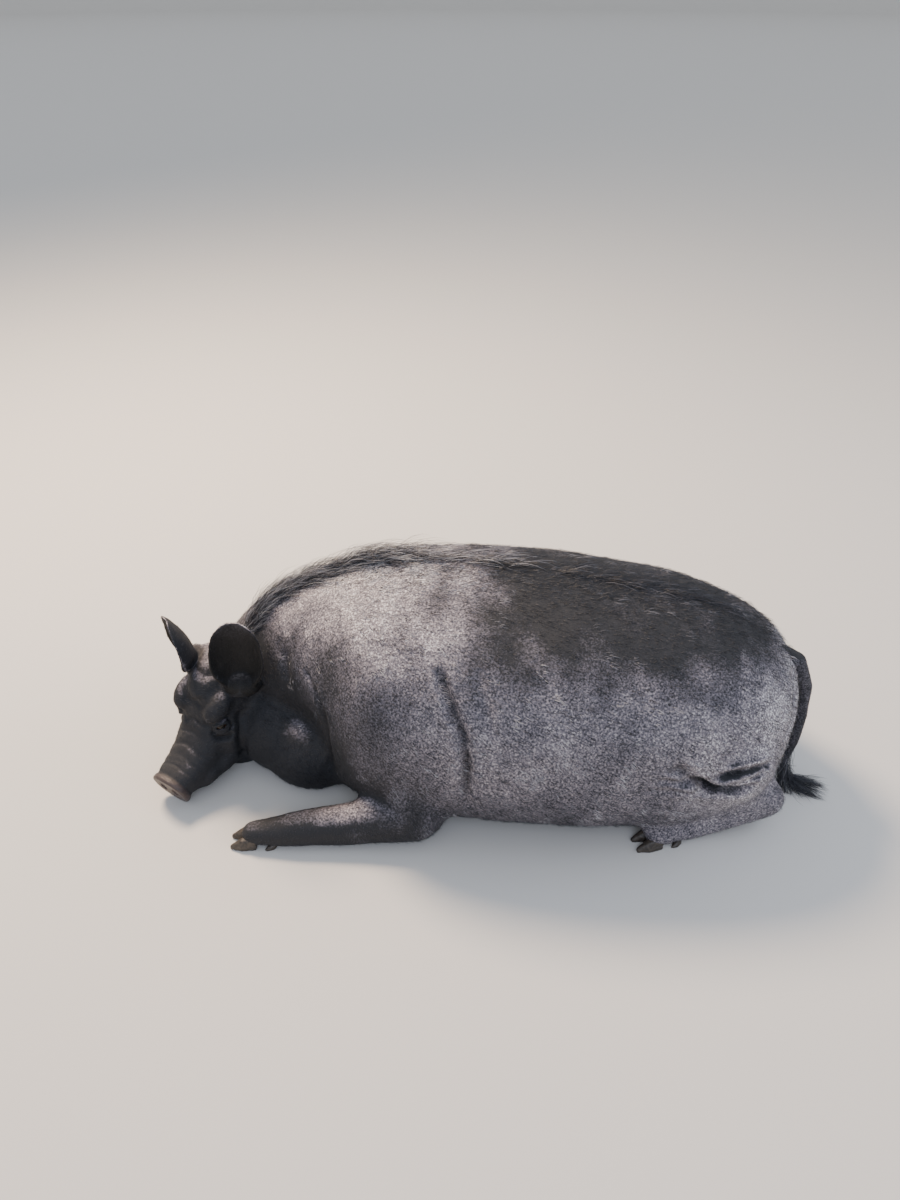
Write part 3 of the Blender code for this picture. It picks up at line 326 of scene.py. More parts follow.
# How the flesh is fused: voxel sizes and passes of smoothing, as in the solids, then finer.
BODY_VOXEL = 0.005
HEAD_VOXEL = 0.003
WHOLE_VOXEL = 0.0035
TRUNK_SOFTENING = 36
HEAD_SOFTENING = 6
SKIN_VOXEL = 0.0020
SKIN_SOFTENING = 2
SKIN_TRIANGLES = 300000
UNWRAP_TRIANGLES = 6000

# The coat is thin at the snout, and has its whole depth this far behind it.
BARE_WITHIN = 0.055
FULL_DEPTH_BEYOND = 0.150

# Regrown detail: balls about the eyes, nostrils and mouth in which the skin's mesh is made finer.
FINE_ABOUT_EYE = 0.030
FINEST_ABOUT_EYE = 0.019
FINE_ABOUT_SNOUT = 0.050
FINE_ABOUT_MOUTH = 0.012
FINE_ABOUT_FOLD = 0.018
NARROW_FOLD = 0.0048
FLOOR_CLEARANCE = 0.0006
CORNEA_BULGE = 0.0008

# Shades run from 0, black, to 1. The hide's common shade, and what it gains or loses: a darker saddle on
# the back with painted leaf shadow over it, painted light on the withers and haunches, painted shade on
# the shoulders and low down near the floor, and a face that is dark and painted in shade as well. The
# ears' rims take a painted highlight.
COMMON_SHADE = 0.54
SADDLE_DARK_AND_SHADOW = 0.42
WITHERS_LIGHT = 0.24
SHOULDER_SHADE = 0.24
HAUNCH_LIGHT = 0.22
FACE_DARK_AND_SHADE = 0.40
LOW_SHADE = 0.16
TAIL_SHADE = 0.35
PAINTED_RIM_LIGHT = 0.5

# The hide's own pattern: how strong its blotches are, and what its pepper adds to the shade where
# it is darkest and where it is lightest. Creases and the ears' cups are painted in shade, with a
# colour of their own.
BLOTCH_STRENGTH = 0.25
PEPPER_DARK = -0.26
PEPPER_LIGHT = 0.40
CREASE_SHADE_COLOUR = "#2a2422"
FLOOR_COLOUR = "#cfccc6"
AIR_COLOUR = "#e2e8f3"

# Layers of the coat and how their bristles lie. Length is a share of the common one, lift is in
# degrees, curl the share of the rise that is bent back down, gather how far tufts draw together
# and sway how far headings stray. Stations are the points from a bristle's root to its tip.
Coat = namedtuple("Coat", "name count stations length width lift curl gather sway")
COATS = (
    Coat("coat_short", 236000, 2, 0.60, 0.00070, 8.0, 0.0, 0.22, 0.26),
    Coat("coat_long", 28000, 3, 1.10, 0.00066, 11.0, 0.5, 0.20, 0.22),
)
MANE = Coat("mane", 3000, 5, 1.0, 0.00080, 0.0, 0.6, 0.50, 0.16)
SWITCH = Coat("tail_switch", 700, 4, 1.0, 0.00090, 12.0, 0.4, 0.30, 0.30)
# No piece of the coat has more triangles than this.
MOST_TRIANGLES = 190000
# A bristle's depth to its width, how deep it is rooted, and its patch of the unwrap.
BRISTLE_FLATNESS = 0.6
ROOT_SUNK = 0.0012
TUFT_PATCH = 0.003
# How steeply the coat drops down the flanks on its way back.
FLANK_DROP = 0.62
# Tufts: so many bristles lean together and so many are toned alike; light tufts and dark ones
# change over about such a distance, and so strongly.
TUFT_SIZE = 9
TONE_TUFT_SIZE = 6
TUFT_LIKENESS = 0.9
TUFT_SPACING = 0.0034
TUFT_CONTRAST = 1.8
# The share of pale bristles on hide of shade 1, and how much lengths and lifts differ.
PALE_SHARE = 0.48
LENGTH_SPREAD = (0.65, 1.2)
LIFT_SPREAD = (0.5, 1.5)
# How much the bristles in the ears' cups are darkened, as painted shade.
EAR_CUP_BRISTLE_SHADE = 0.85

# How thickly head and ears are set with bristles, where the flank is 1. Shares of the bristles'
# length by the distance from the snout and from the foot, on the ears and tail, and on the crest.
HEAD_DENSITY = 2.6
HEAD_REACH = 0.26
BARE_EYE_HALF_LENGTH = 0.0135
BARE_EYE_HALF_WIDTH = 0.0085
SNOUT_SHORTENING = ((0.03, 0.08, 0.20, 0.34, 0.50), (0.30, 0.42, 0.62, 0.86, 1.0))
LEG_SHORTENING = ((0.04, 0.26), (0.45, 1.0))
EAR_SHORTENING = 0.40
TAIL_SHORTENING = 0.5
CREST_ASIDE = 0.030
CREST_HALF_WIDTH = 0.090
CREST_GAIN = 0.8

# Mane, at equal shares of the way from the poll to the hips: its length, the rise of its tips, how
# far it lies over the back to the far side, how thick it grows and its share of pale bristles.
MANE_LENGTHS = (0.056, 0.082, 0.090, 0.084, 0.072, 0.062, 0.052)
MANE_RISES = (0.013, 0.021, 0.023, 0.017, 0.011, 0.009, 0.007)
MANE_SHIFTS = (0.010, 0.048, 0.060, 0.052, 0.036, 0.026, 0.020)
MANE_THICKNESS = (1.0, 1.0, 0.45, 0.08, 0.06, 0.12, 0.16)
MANE_SHADES = (0.36, 0.36, 0.40, 0.40, 0.22, 0.12, 0.10)
MANE_KEYS = np.linspace(0, 1, len(MANE_LENGTHS))
# Its locks: how many, how they spread, turn and fan out, and how bristles stray within them.
MANE_LOCKS = 700
MANE_HALF_WIDTH = 0.011
MANE_EDGE_LIFT = 0.30
MANE_LIFT = 1.35
LOCK_TURN = 0.16
LOCK_FAN = 0.28
LOCK_HALF_LENGTH = 0.006
LOCK_HALF_WIDTH = 0.005
BRISTLE_TURN = 0.10
# So many rows of the body, counted from the rump, have no mane.
ROWS_WITHOUT_MANE = 17

# Switch: the tail's joints that it grows from, how far its roots are from their line, its bristles'
# shortest and longest length and its share of pale ones.
SWITCH_JOINTS = 4
SWITCH_REACH = 0.006
SWITCH_LENGTHS = (0.035, 0.066)
SWITCH_SHADE = 0.12

# Claws: the grid they are remeshed on and the passes of smoothing that wear them round.
CLAW_VOXEL = 0.0016
CLAW_WEAR = 9

# Stage: a round floor with its edge swept up, and lamps aimed at the pig's middle.
STAGE_RADIUS = 24.0
STAGE_CURVE = 2.5
STAGE_CURVE_STEPS = 12
STAGE_TOP = 7.0
STAGE_SIDES = 96
Lamp = namedtuple("Lamp", "name at size watts colour")
LAMPS = (
    Lamp("key", (-1.6, 1.3, 2.7), 1.0, 230, "#ffe2c4"),
    Lamp("fill", (0.4, -2.8, 2.4), 2.8, 40, "#d8e4ff"),
    Lamp("rump_side", (2.6, 0.2, 2.2), 1.8, 26, "#dde9ff"),
)
AIM = Vector((0, 0, 0.18))

# Camera: where the photo was taken from, how it was turned, and its focal length in pixels.
CAMERA_AT = (0.095, -1.185, 1.200)
CAMERA_YAW = 5
CAMERA_PITCH = 36
PHOTO_FOCAL = 900
PHOTO_HEIGHT = 1200
SENSOR = 36.0

WORLD = (Vector((1, 0, 0)), Vector((0, 1, 0)), Vector((0, 0, 1)))
EARS = ((1, "ear_left"), (-1, "ear_right"))
LEGS = ("foreleg_left", "foreleg_right", "hindleg_left", "hindleg_right")
FLESH_NODES = ("head", "neck", "torso", "tail", "ear_left", "ear_right", *LEGS)


def linear(hex_colour):
    """An sRGB hex colour as linear red, green and blue."""
    channels = [int(hex_colour[index : index + 2], 16) / 255 for index in (1, 3, 5)]
    return tuple(
        value / 12.92 if value <= 0.04045 else ((value + 0.055) / 1.055) ** 2.4
        for value in channels
    )


def facing(yaw, pitch, roll=0):
    """Forward, left and up of what faces -X, then is turned left, put nose down and rolled."""
    yaw, pitch, roll = (math.radians(value) for value in (yaw, pitch, roll))
    forward = Vector(
        (
            -math.cos(yaw) * math.cos(pitch),
            -math.sin(yaw) * math.cos(pitch),
            -math.sin(pitch),
        )
    )
    left = Vector((math.sin(yaw), -math.cos(yaw), 0))
    up = forward.cross(left)
    return (
        forward,
        left * math.cos(roll) + up * math.sin(roll),
        up * math.cos(roll) - left * math.sin(roll),
    )


HEAD_FRAME = facing(HEAD_YAW, HEAD_PITCH, HEAD_ROLL)


def head_way(f, l, u):
    forward, left, up = HEAD_FRAME
    return forward * f + left * l + up * u


def frame_shift():
    """From the body's own coordinates to the frame's, read from where the left eye is."""
    low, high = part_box("eye_left")
    return (low + high) / 2 - Vector(HEAD_AT) - head_way(*EYE_AT)


SHIFT = frame_shift()


def placed(x, y, z):
    return Vector((x, y, z)) + SHIFT


def spot(item):
    """Where a joint or a station is in the frame."""
    return placed(item.x, item.y, item.z)


def head_point(f, l, u):
    return placed(*HEAD_AT) + head_way(f, l, u)


def on_side(row, side):
    """A row of the head's frame, for the left when side is 1 and for the right when it is -1."""
    f, l, u = row
    return f, l * side, u


def mirrored(chain, side):
    """The chain as it is for side 1, the pig's left, and on the other side for -1."""
    return [joint._replace(y=joint.y * side) for joint in chain]


def link(name, data):
    made = bpy.data.objects.new(name, data)
    bpy.context.scene.collection.objects.link(made)
    return made


def placed_shape(name, shape):
    """An object of a bmesh, which is freed."""
    shape.normal_update()
    bmesh.ops.recalc_face_normals(shape, faces=shape.faces)
    mesh = bpy.data.meshes.new(name)
    shape.to_mesh(mesh)
    shape.free()
    return link(name, mesh)


def evaluated(source, name):
    """A new object holding source's mesh with its modifiers applied; source is removed."""
    bpy.context.view_layer.update()
    graph = bpy.context.evaluated_depsgraph_get()
    mesh = bpy.data.meshes.new_from_object(source.evaluated_get(graph))
    bpy.data.objects.remove(source)
    return link(name, mesh)


def add_modifier(target, name, kind, **settings):
    """A modifier of target with its settings."""
    made = target.modifiers.new(name, kind)
    for key, value in settings.items():
        setattr(made, key, value)


def spline_rows(rows, steps):
    """Rows of numbers, read on a Catmull-Rom curve through them with steps rows to each span."""
    keys = np.array(rows, float)
    padded = np.vstack([2 * keys[0] - keys[1], keys, 2 * keys[-1] - keys[-2]])
    found = []
    for span in range(len(keys) - 1):
        before, start, end, after = padded[span : span + 4]
        for step in range(steps):
            t = step / steps
            found.append(
                0.5
                * (
                    2 * start
                    + (end - before) * t
                    + (2 * before - 5 * start + 4 * end - after) * t**2
                    + (3 * start - before - 3 * end + after) * t**3
                )
            )
    found.append(keys[-1])
    return np.array(found)


def oval(count, left, right, up, down):
    """Points of a section as reaches to its left and up, rounder above than below."""
    points = []
    for index in range(count):
        turn = 2 * math.pi * index / count
        across, tall = math.cos(turn), math.sin(turn)
        power = 2 / (ROUND_ABOVE if tall > 0 else ROUND_BELOW)
        reach = left if across > 0 else right
        rise = up if tall > 0 else down
        points.append(
            (
                math.copysign(abs(across) ** power, across) * reach,
                math.copysign(abs(tall) ** power, tall) * rise,
            )
        )
    return points


def loft(name, rings):
    """A closed tube through rings of points, with a fan of triangles at each end."""
    shape = bmesh.new()
    loops = [[shape.verts.new(point) for point in ring] for ring in rings]
    sides = len(loops[0])
    for one, other in zip(loops, loops[1:]):
        for side in range(sides):
            after = (side + 1) % sides
            shape.faces.new((one[side], one[after], other[after], other[side]))
    for loop in (loops[0], loops[-1]):
        middle = shape.verts.new(sum((vert.co for vert in loop), Vector()) / sides)
        for side in range(sides):
            shape.faces.new((loop[side], loop[(side + 1) % sides], middle))
    return placed_shape(name, shape)


def body_rows():
    return [Station(*row) for row in spline_rows(BODY, BODY_STEPS)]


def ring(centre, left, up, outline):
    """The points of an outline about a centre."""
    return [centre + left * across + up * tall for across, tall in outline]


def body_loft():
    rings = []
    for row in body_rows():
        _, left, up = facing(row.yaw, row.pitch)
        outline = oval(BODY_SIDES, row.left, row.right, row.up, row.down)
        rings.append(ring(spot(row), left, up, outline))
    return loft("body_loft", rings)


def head_loft(name, sections):
    rings = []
    for row in spline_rows(sections, HEAD_STEPS):
        section = Section(*row)
        middle = (section.top + section.bottom) / 2
        half = (section.top - section.bottom) / 2
        outline = oval(HEAD_SIDES, section.half, section.half, half, half)
        rings.append([head_point(section.f, across, middle + tall) for across, tall in outline])
    return loft(name, rings)


def ball(name, centre, radii, axes, segments=24, rings=16):
    """An ellipsoid with its radii along the three directions of axes."""
    shape = bmesh.new()
    turned = Matrix([direction * radius for direction, radius in zip(axes, radii)])
    bmesh.ops.create_uvsphere(
        shape,
        u_segments=segments,
        v_segments=rings,
        radius=1,
        matrix=Matrix.Translation(centre) @ turned.transposed().to_4x4(),
    )
    return placed_shape(name, shape)


def volumes(rows, paired):
    """A ball for each row, and where they are paired another for each row beside the middle."""
    made = []
    for volume in rows:
        for side in (1, -1) if paired and volume.l else (1,):
            centre = head_point(volume.f, volume.l * side, volume.u)
            radii = (volume.along, volume.across, volume.tall)
            made.append(ball("volume", centre, radii, HEAD_FRAME))
    return made


def capsules(chain):
    """Rounded cones from joint to joint, each the hull of two balls."""
    made = []
    for start, end in zip(chain, chain[1:]):
        balls = bmesh.new()
        for joint in (start, end):
            bmesh.ops.create_icosphere(
                balls,
                subdivisions=3,
                radius=joint.radius,
                matrix=Matrix.Translation(spot(joint)),
            )
        cloud = bmesh.new()
        for vert in balls.verts:
            cloud.verts.new(vert.co)
        balls.free()
        hull = bmesh.ops.convex_hull(cloud, input=cloud.verts)
        unused = set(hull["geom_interior"]) | set(hull["geom_unused"])
        points = [item for item in unused if isinstance(item, bmesh.types.BMVert)]
        bmesh.ops.delete(cloud, geom=points, context="VERTS")
        made.append(placed_shape("capsule", cloud))
    return made


def snout_frame():
    """The head's frame with its top tilted back, for the snout."""
    forward, left, up = HEAD_FRAME
    turn = Matrix.Rotation(math.radians(SNOUT_TILT), 3, left)
    return turn @ forward, left, turn @ up


def snout_plate():
    forward, left, up = snout_frame()
    centre = head_point(*SNOUT_AT)
    rings = []
    for along, share in SNOUT_PROFILE:
        middle = centre + forward * along * SNOUT_THICK / 2
        width, height = SNOUT_HALF_WIDTH * share, SNOUT_HALF_HEIGHT * share
        outline = oval(SNOUT_SIDES, width, width, height, height)
        rings.append(ring(middle, left, up, outline))
    return loft("snout_plate", rings)


def joined(name, pieces):
    """One object holding all the pieces' faces; the pieces are removed."""
    shape = bmesh.new()
    for piece in pieces:
        shape.from_mesh(piece.data)
        bpy.data.objects.remove(piece)
    return placed_shape(name, shape)


def fused(name, pieces, voxel, passes):
    """One closed surface round all the pieces, softened by passes of smoothing."""
    whole = joined(name + "_loose", pieces)
    add_modifier(whole, "fuse", "REMESH", mode="VOXEL", voxel_size=voxel, adaptivity=0)
    add_modifier(whole, "soften", "SMOOTH", factor=0.5, iterations=passes)
    return evaluated(whole, name)


def coordinates(target):
    points = np.empty(len(target.data.vertices) * 3)
    target.data.vertices.foreach_get("co", points)
    return points.reshape(-1, 3)


def normals_of(target):
    normals = np.empty(len(target.data.vertices) * 3)
    target.data.vertex_normals.foreach_get("vector", normals)
    return normals.reshape(-1, 3)


def move_to(target, points):
    target.data.vertices.foreach_set("co", np.ascontiguousarray(points).ravel())
    target.data.update()


def distance_from(points, centre):
    """How far each point is from a centre."""
    return np.linalg.norm(points - np.array(centre), axis=1)


def snout_distance(points):
    return distance_from(points, head_point(*SNOUT_AT))


def snout_ahead(points):
    """How far each point is out in front of the snout's plate."""
    return (points - np.array(head_point(*SNOUT_AT))) @ np.array(snout_frame()[0])


def on_node(regions, name):
    return regions == FLESH_NODES.index(name)


def unit(ways):
    """The rows of ways, each made one long."""
    return ways / np.linalg.norm(ways, axis=1, keepdims=True)


def square_to(ways, axes):
    """What is left of each way at right angles to its axis."""
    return ways - axes * np.sum(ways * axes, axis=1, keepdims=True)


def swung(ways, asides, turns):
    """Each way turned towards its aside."""
    return ways * np.cos(turns)[:, None] + asides * np.sin(turns)[:, None]


def smoothstep(low, high, values):
    share = np.clip((values - low) / (high - low), 0, 1)
    return share * share * (3 - 2 * share)


def surface_of(target):
    """A tree of target's faces, for finding the nearest place on it."""
    shape = bmesh.new()
    shape.from_mesh(target.data)
    tree = BVHTree.FromBMesh(shape)
    shape.free()
    return tree


def distance_to_stretch(points, start, end):
    """Each point's distance to the stretch from start to end, and its place on it from 0 to 1."""
    span = end - start
    share = np.clip((points - start) @ span / (span @ span), 0, 1)
    return np.linalg.norm(points - start - share[:, None] * span, axis=1), share


def distance_to_line(points, line):
    """Each point's distance to a polyline, and how far along it the nearest place is, 0 to 1."""
    nearest = np.full(len(points), np.inf)
    along = np.zeros(len(points))
    for index, (start, end) in enumerate(zip(line, line[1:])):
        distance, share = distance_to_stretch(points, start, end)
        closer = distance < nearest
        nearest[closer] = distance[closer]
        along[closer] = (index + share[closer]) / (len(line) - 1)
    return nearest, along


def ear_frame(side):
    """Up along an ear, out of its cup and across it."""
    rise = head_way(*EAR_RISES[side]).normalized()
    face = head_way(*EAR_FACES[side])
    face = (face - rise * face.dot(rise)).normalized()
    return rise, face, rise.cross(face)


def ear(side):
    """A cupped sheet, thickest at its root and thinnest at its rim, as one closed mesh."""
    rise, face, across = (np.array(way) for way in ear_frame(side))
    root = np.array(head_point(*on_side(EAR_ROOT, side)))
    share = np.linspace(0, 1, EAR_ROWS)
    along = -EAR_BURIED + share * (1 + EAR_BURIED)
    rising = np.clip(along / EAR_WIDEST, 0, 1)
    narrow = EAR_ROOT_SHARE + (1 - EAR_ROOT_SHARE) * np.sin(rising * math.pi / 2)
    tapered = 1 - (np.clip(along - EAR_WIDEST, 0, 1) / (1 - EAR_WIDEST)) ** EAR_TIP_POWER
    width = np.where(along < EAR_WIDEST, narrow, np.sqrt(np.maximum(EAR_TIP_LEAST, tapered)))
    width *= 1 + np.minimum(along, 0) * EAR_ROOT_NARROWING
    cup = np.radians(EAR_BASE_CUP + (EAR_TIP_CUP - EAR_BASE_CUP) * np.clip(along, 0, 1))
    radius = EAR_HALF_WIDTH * width / np.sin(cup)
    bend = EAR_BEND * np.sin(math.pi * share)
    middle = root + rise * (EAR_LENGTHS[side] * along)[:, None] - face * bend[:, None]
    column = np.linspace(-1, 1, EAR_COLUMNS)
    turn = cup[:, None] * column
    arc = across * np.sin(turn)[..., None] + face * (1 - np.cos(turn))[..., None]
    sheet = middle[:, None] + arc * radius[:, None, None]
    downs, asides = np.gradient(sheet, axis=(0, 1))
    out = np.cross(asides, downs)
    out /= np.linalg.norm(out, axis=2, keepdims=True)
    edge = np.maximum(np.abs(column)[None], smoothstep(0.75, 1.0, share)[:, None])
    thick = EAR_THICK + (EAR_RIM_THICK - EAR_THICK) * edge**3
    front = (sheet + out * thick[..., None] / 2).reshape(-1, 3)
    back = (sheet - out * thick[..., None] / 2).reshape(-1, 3)
    return closed_sheet("ear", front, back, EAR_ROWS, EAR_COLUMNS)


def ear_root(side):
    """The muscle that an ear stands on, which fills the foot of its cup."""
    axes = ear_frame(side)
    centre = head_point(*on_side(EAR_ROOT, side)) - axes[0] * EAR_ROOT_DROP
    return ball("ear_root", centre, EAR_ROOT_RADII, axes)


def weigh(group, weights, least=0):
    """Puts the vertices that weigh more than the least into a vertex group."""
    for index in np.flatnonzero(weights > least).tolist():
        group.add([index], float(weights[index]), "REPLACE")


def softened(target, centres, radius, passes):
    """Target with passes of smoothing about each centre, which fade out at the radius."""
    points = coordinates(target)
    group = target.vertex_groups.new(name="softened")
    for centre in centres:
        weigh(group, 1 - smoothstep(radius * 0.4, radius, distance_from(points, centre)), 0.01)
    add_modifier(target, "soften", "SMOOTH", factor=0.5, iterations=passes, vertex_group=group.name)
    return evaluated(target, target.name)


def closed_sheet(name, front, back, rows, columns):
    """A mesh of two like grids of points, joined round their borders."""
    index = np.arange(rows * columns).reshape(rows, columns)
    corners = (index[:-1, :-1], index[:-1, 1:], index[1:, 1:], index[1:, :-1])
    quads = np.stack(corners, axis=-1).reshape(-1, 4)
    rim = np.concatenate([index[0, :-1], index[:-1, -1], index[-1, :0:-1], index[:0:-1, 0]])
    after = np.roll(rim, -1)
    count = rows * columns
    walls = np.stack([rim, after, after + count, rim + count], axis=1)
    faces = np.vstack([quads, quads[:, ::-1] + count, walls])
    mesh = bpy.data.meshes.new(name)
    mesh.from_pydata(np.vstack([front, back]).tolist(), [], faces.tolist())
    shape = bmesh.new()
    shape.from_mesh(mesh)
    bpy.data.meshes.remove(mesh)
    return placed_shape(name, shape)


def all_folds():
    """Every fold in the frame, with those of both sides on each side."""
    found = [fold._replace(line=[placed(*row) for row in fold.line]) for fold in NECK_FOLDS]
    for side in (1, -1):
        for fold in SIDE_FOLDS:
            rows = [(x, BODY_MIDDLE_Y + (y - BODY_MIDDLE_Y) * side, z) for x, y, z in fold.line]
            found.append(fold._replace(line=[placed(*row) for row in rows]))
        for fold in FACE_FOLDS:
            line = [head_point(*on_side(row, side)) for row in fold.line]
            if fold.line[-1][1] == 0:
                line += [head_point(*on_side(row, -side)) for row in fold.line[-2::-1]]
            if side == 1 or fold.line[-1][1] != 0:
                found.append(fold._replace(line=line))
        found += lid_folds(side)
    return found


def lid_folds(side):
    """The creases that run round each eye above its upper lid and below its lower one."""
    _, along, across = eye_frame(side)
    made = []
    for reach, depth, turns in LID_FOLDS:
        line = []
        for turn in np.linspace(*np.radians(turns), LID_FOLD_POINTS):
            aside = along * math.cos(turn) + across * math.sin(turn) * LID_FOLD_FLATNESS
            line.append(eye_centre(side) + aside * reach)
        made.append(Fold(depth, depth, depth / 2, line))
    return made


def press_folds(target, folds):
    """Presses each fold into the surface, deepest along its line and fading at its ends, and keeps
    a painted shade along its valley.
    """
    points = coordinates(target)
    normals = normals_of(target)
    surface = surface_of(target)
    shift = np.zeros(len(points))
    crease = np.zeros(len(points))
    for fold in folds:
        curve = spline_rows(fold.line, FOLD_STEPS)
        line = np.array([surface.find_nearest(Vector(point))[0] for point in curve])
        reach = fold.width * FOLD_REACH
        inside = (points > line.min(axis=0) - reach) & (points < line.max(axis=0) + reach)
        near = np.flatnonzero(inside.all(axis=1))
        distance, along = distance_to_line(points[near], line)
        share = distance / fold.width
        uneven = 0.85 + lumps(points[near], UNEVEN_FOLD, 8) * 0.9
        fade = np.sqrt(np.sin(np.pi * along).clip(0)) * uneven.clip(0.2, 1.2)
        valley = np.exp(-(share**2))
        shift[near] += (fold.rim * np.exp(-((share - 2) ** 2)) - fold.depth * valley) * fade
        # Painted shade in the fold's valley, fuller for a deep, narrow fold.
        dark = min(1, fold.depth**2 / fold.width / FOLD_FOR_FULL_SHADE)
        crease[near] = np.maximum(crease[near], valley**2 * fade * dark)
    move_to(target, points + normals * shift[:, None])
    store(target.data, "crease", crease)


def store(mesh, name, values):
    """Keeps one number for each vertex as a named attribute."""
    found = mesh.attributes.get(name) or mesh.attributes.new(name, "FLOAT", "POINT")
    found.data.foreach_set("value", np.asarray(values, np.float32))


def stored(mesh, name):
    values = np.empty(len(mesh.vertices), np.float32)
    mesh.attributes[name].data.foreach_get("value", values)
    return values


def coat_depth_at(points, depth):
    """How far the skin lies inside the solids: nothing at the snout, the whole depth behind."""
    return depth * smoothstep(BARE_WITHIN, FULL_DEPTH_BEYOND, snout_distance(points))


def eye_frame(side):
    """Out of the eye, along its slit and across its slit."""
    out = head_way(*on_side(EYE_OUT, side)).normalized()
    along = HEAD_FRAME[2].cross(out).normalized()
    along = Matrix.Rotation(math.radians(LID_SLANT * -side), 3, out) @ along
    return out, along, out.cross(along)


def eye_centre(side):
    return head_point(*on_side(EYE_AT, side))


def near_point(target, centre, radius):
    return distance_from(coordinates(target), centre) < radius


def near_lines(target, lines):
    """Which vertices of target lie beside any of the lines."""
    points = coordinates(target)
    surface = surface_of(target)
    found = np.zeros(len(points), bool)
    for line in lines:
        laid = np.array([surface.find_nearest(Vector(row))[0] for row in spline_rows(line, 3)])
        found |= distance_to_line(points, laid)[0] < FINE_ABOUT_FOLD
    return found


def refine(target, chosen):
    """Halves every edge of target between two chosen vertices."""
    shape = bmesh.new()
    shape.from_mesh(target.data)
    inside = {vert for vert, taken in zip(shape.verts, chosen.tolist()) if taken}
    edges = [edge for edge in shape.edges if edge.verts[0] in inside and edge.verts[1] in inside]
    bmesh.ops.subdivide_edges(shape, edges=edges, cuts=1, use_grid_fill=True, smooth=0.6)
    bmesh.ops.triangulate(shape, faces=[face for face in shape.faces if len(face.verts) > 4])
    shape.to_mesh(target.data)
    shape.free()


def open_lids(target):
    """Sinks the skin inside each eye's almond behind the eyeball, which leaves the lids' edges."""
    points = coordinates(target)
    for side in (1, -1):
        out, along, across = (np.array(way) for way in eye_frame(side))
        offset = points - np.array(eye_centre(side))
        a, b, height = offset @ along, offset @ across, offset @ out
        near = (np.linalg.norm(offset, axis=1) < LID_REACH) & (height > 0)
        limit = LID_HALF_OPEN * (1 - (a / LID_HALF_LENGTH) ** 2)
        inside = 1 - smoothstep(*LID_EDGE, np.abs(b) - limit)
        drop = np.where(near, inside * (height - EYE_RADIUS * BEHIND_EYE), 0)
        points -= out * drop[:, None]
    move_to(target, points)


def open_nostrils(target):
    """Sinks two wells into the snout's plate and raises a soft rim round each."""
    points = coordinates(target)
    forward, left, up = (np.array(way) for way in snout_frame())
    plate = np.array(head_point(*SNOUT_AT))
    for side in (1, -1):
        offset = points - plate - left * NOSTRIL_ASIDE * side
        across = (offset @ left) * side
        tall = offset @ up
        measure = np.hypot(across / NOSTRIL_HALF_WIDTH, tall / NOSTRIL_HALF_HEIGHT)
        front = (offset @ forward) > 0
        well = (1 - smoothstep(0.70, 1.10, measure)) * NOSTRIL_DEPTH
        rim = np.exp(-(((measure - NOSTRIL_RIM_AT) / NOSTRIL_RIM_WIDTH) ** 2)) * NOSTRIL_RIM_HEIGHT
        points += forward * np.where(front & (measure < 2.4), rim - well, 0)[:, None]
    move_to(target, points)


def rest_on_floor(target):
    points = coordinates(target)
    points[:, 2] = np.maximum(points[:, 2], FLOOR_CLEARANCE)
    move_to(target, points)


def lumps(points, size, seed):
    """Smooth noise from -1 to 1 at each point, its lumps of about so many metres."""
    offset = Vector((seed * 3.7, seed * 1.3, -seed * 2.1))
    scaled = (points / size).tolist()
    return np.array([noise.noise(Vector(row) + offset) for row in scaled])


def wrinkle(target):
    """Soft fat and crinkled hide: slow lumps all over and finer ones that run down the sides."""
    points = coordinates(target)
    normals = normals_of(target)
    tall = points * np.array((1.0, 1.0, 0.45))
    body = smoothstep(0.05, 0.25, snout_distance(points))
    shift = lumps(points, FAT_SIZE, 1) * FAT_HEIGHT * body
    shift += lumps(tall, WRINKLE_SIZE, 2) * WRINKLE_HEIGHT * (0.35 + 0.65 * body)
    shift += lumps(points, GRAIN_SIZE, 3) * GRAIN_HEIGHT
    move_to(target, points + normals * shift[:, None])


def flesh():
    """The pig without ears, snout, lids and tail, as one surface of the same make as the solids."""
    bulk = [
        body_loft(),
        head_loft("poll_loft", SKULL[:POLL_SECTIONS]),
        *volumes(JOWL_VOLUMES, False),
    ]
    bulk += [ball("roll", placed(*centre), radii, WORLD) for centre, radii in THROAT_ROLLS]
    for side in (1, -1):
        bulk += capsules(mirrored(FORELEG, side))
        bulk += capsules(mirrored(HINDLEG, side))
    trunk = fused("trunk", bulk, BODY_VOXEL, TRUNK_SOFTENING)
    skull = [
        head_loft("skull_loft", SKULL),
        head_loft("jaw_loft", JAW),
        *volumes(FACE_VOLUMES, True),
    ]
    head = fused("skull", skull, HEAD_VOXEL, HEAD_SOFTENING)
    return fused("flesh", [trunk, head], WHOLE_VOXEL, HEAD_SOFTENING)


def thin_out(target, triangles, **settings):
    """A modifier that brings target down to about so many triangles."""
    target.data.calc_loop_triangles()
    ratio = triangles / len(target.data.loop_triangles)
    add_modifier(target, "reduce", "DECIMATE", ratio=ratio, **settings)


def decimated(source, name, triangles):
    """Source brought down to about so many triangles, the head kept finer than the body."""
    keep = 1 - smoothstep(0.14, 0.24, distance_from(coordinates(source), head_point(*EYE_AT)))
    weigh(source.vertex_groups.new(name="head"), keep)
    thin_out(source, triangles, vertex_group="head", invert_vertex_group=True)
    return evaluated(source, name)


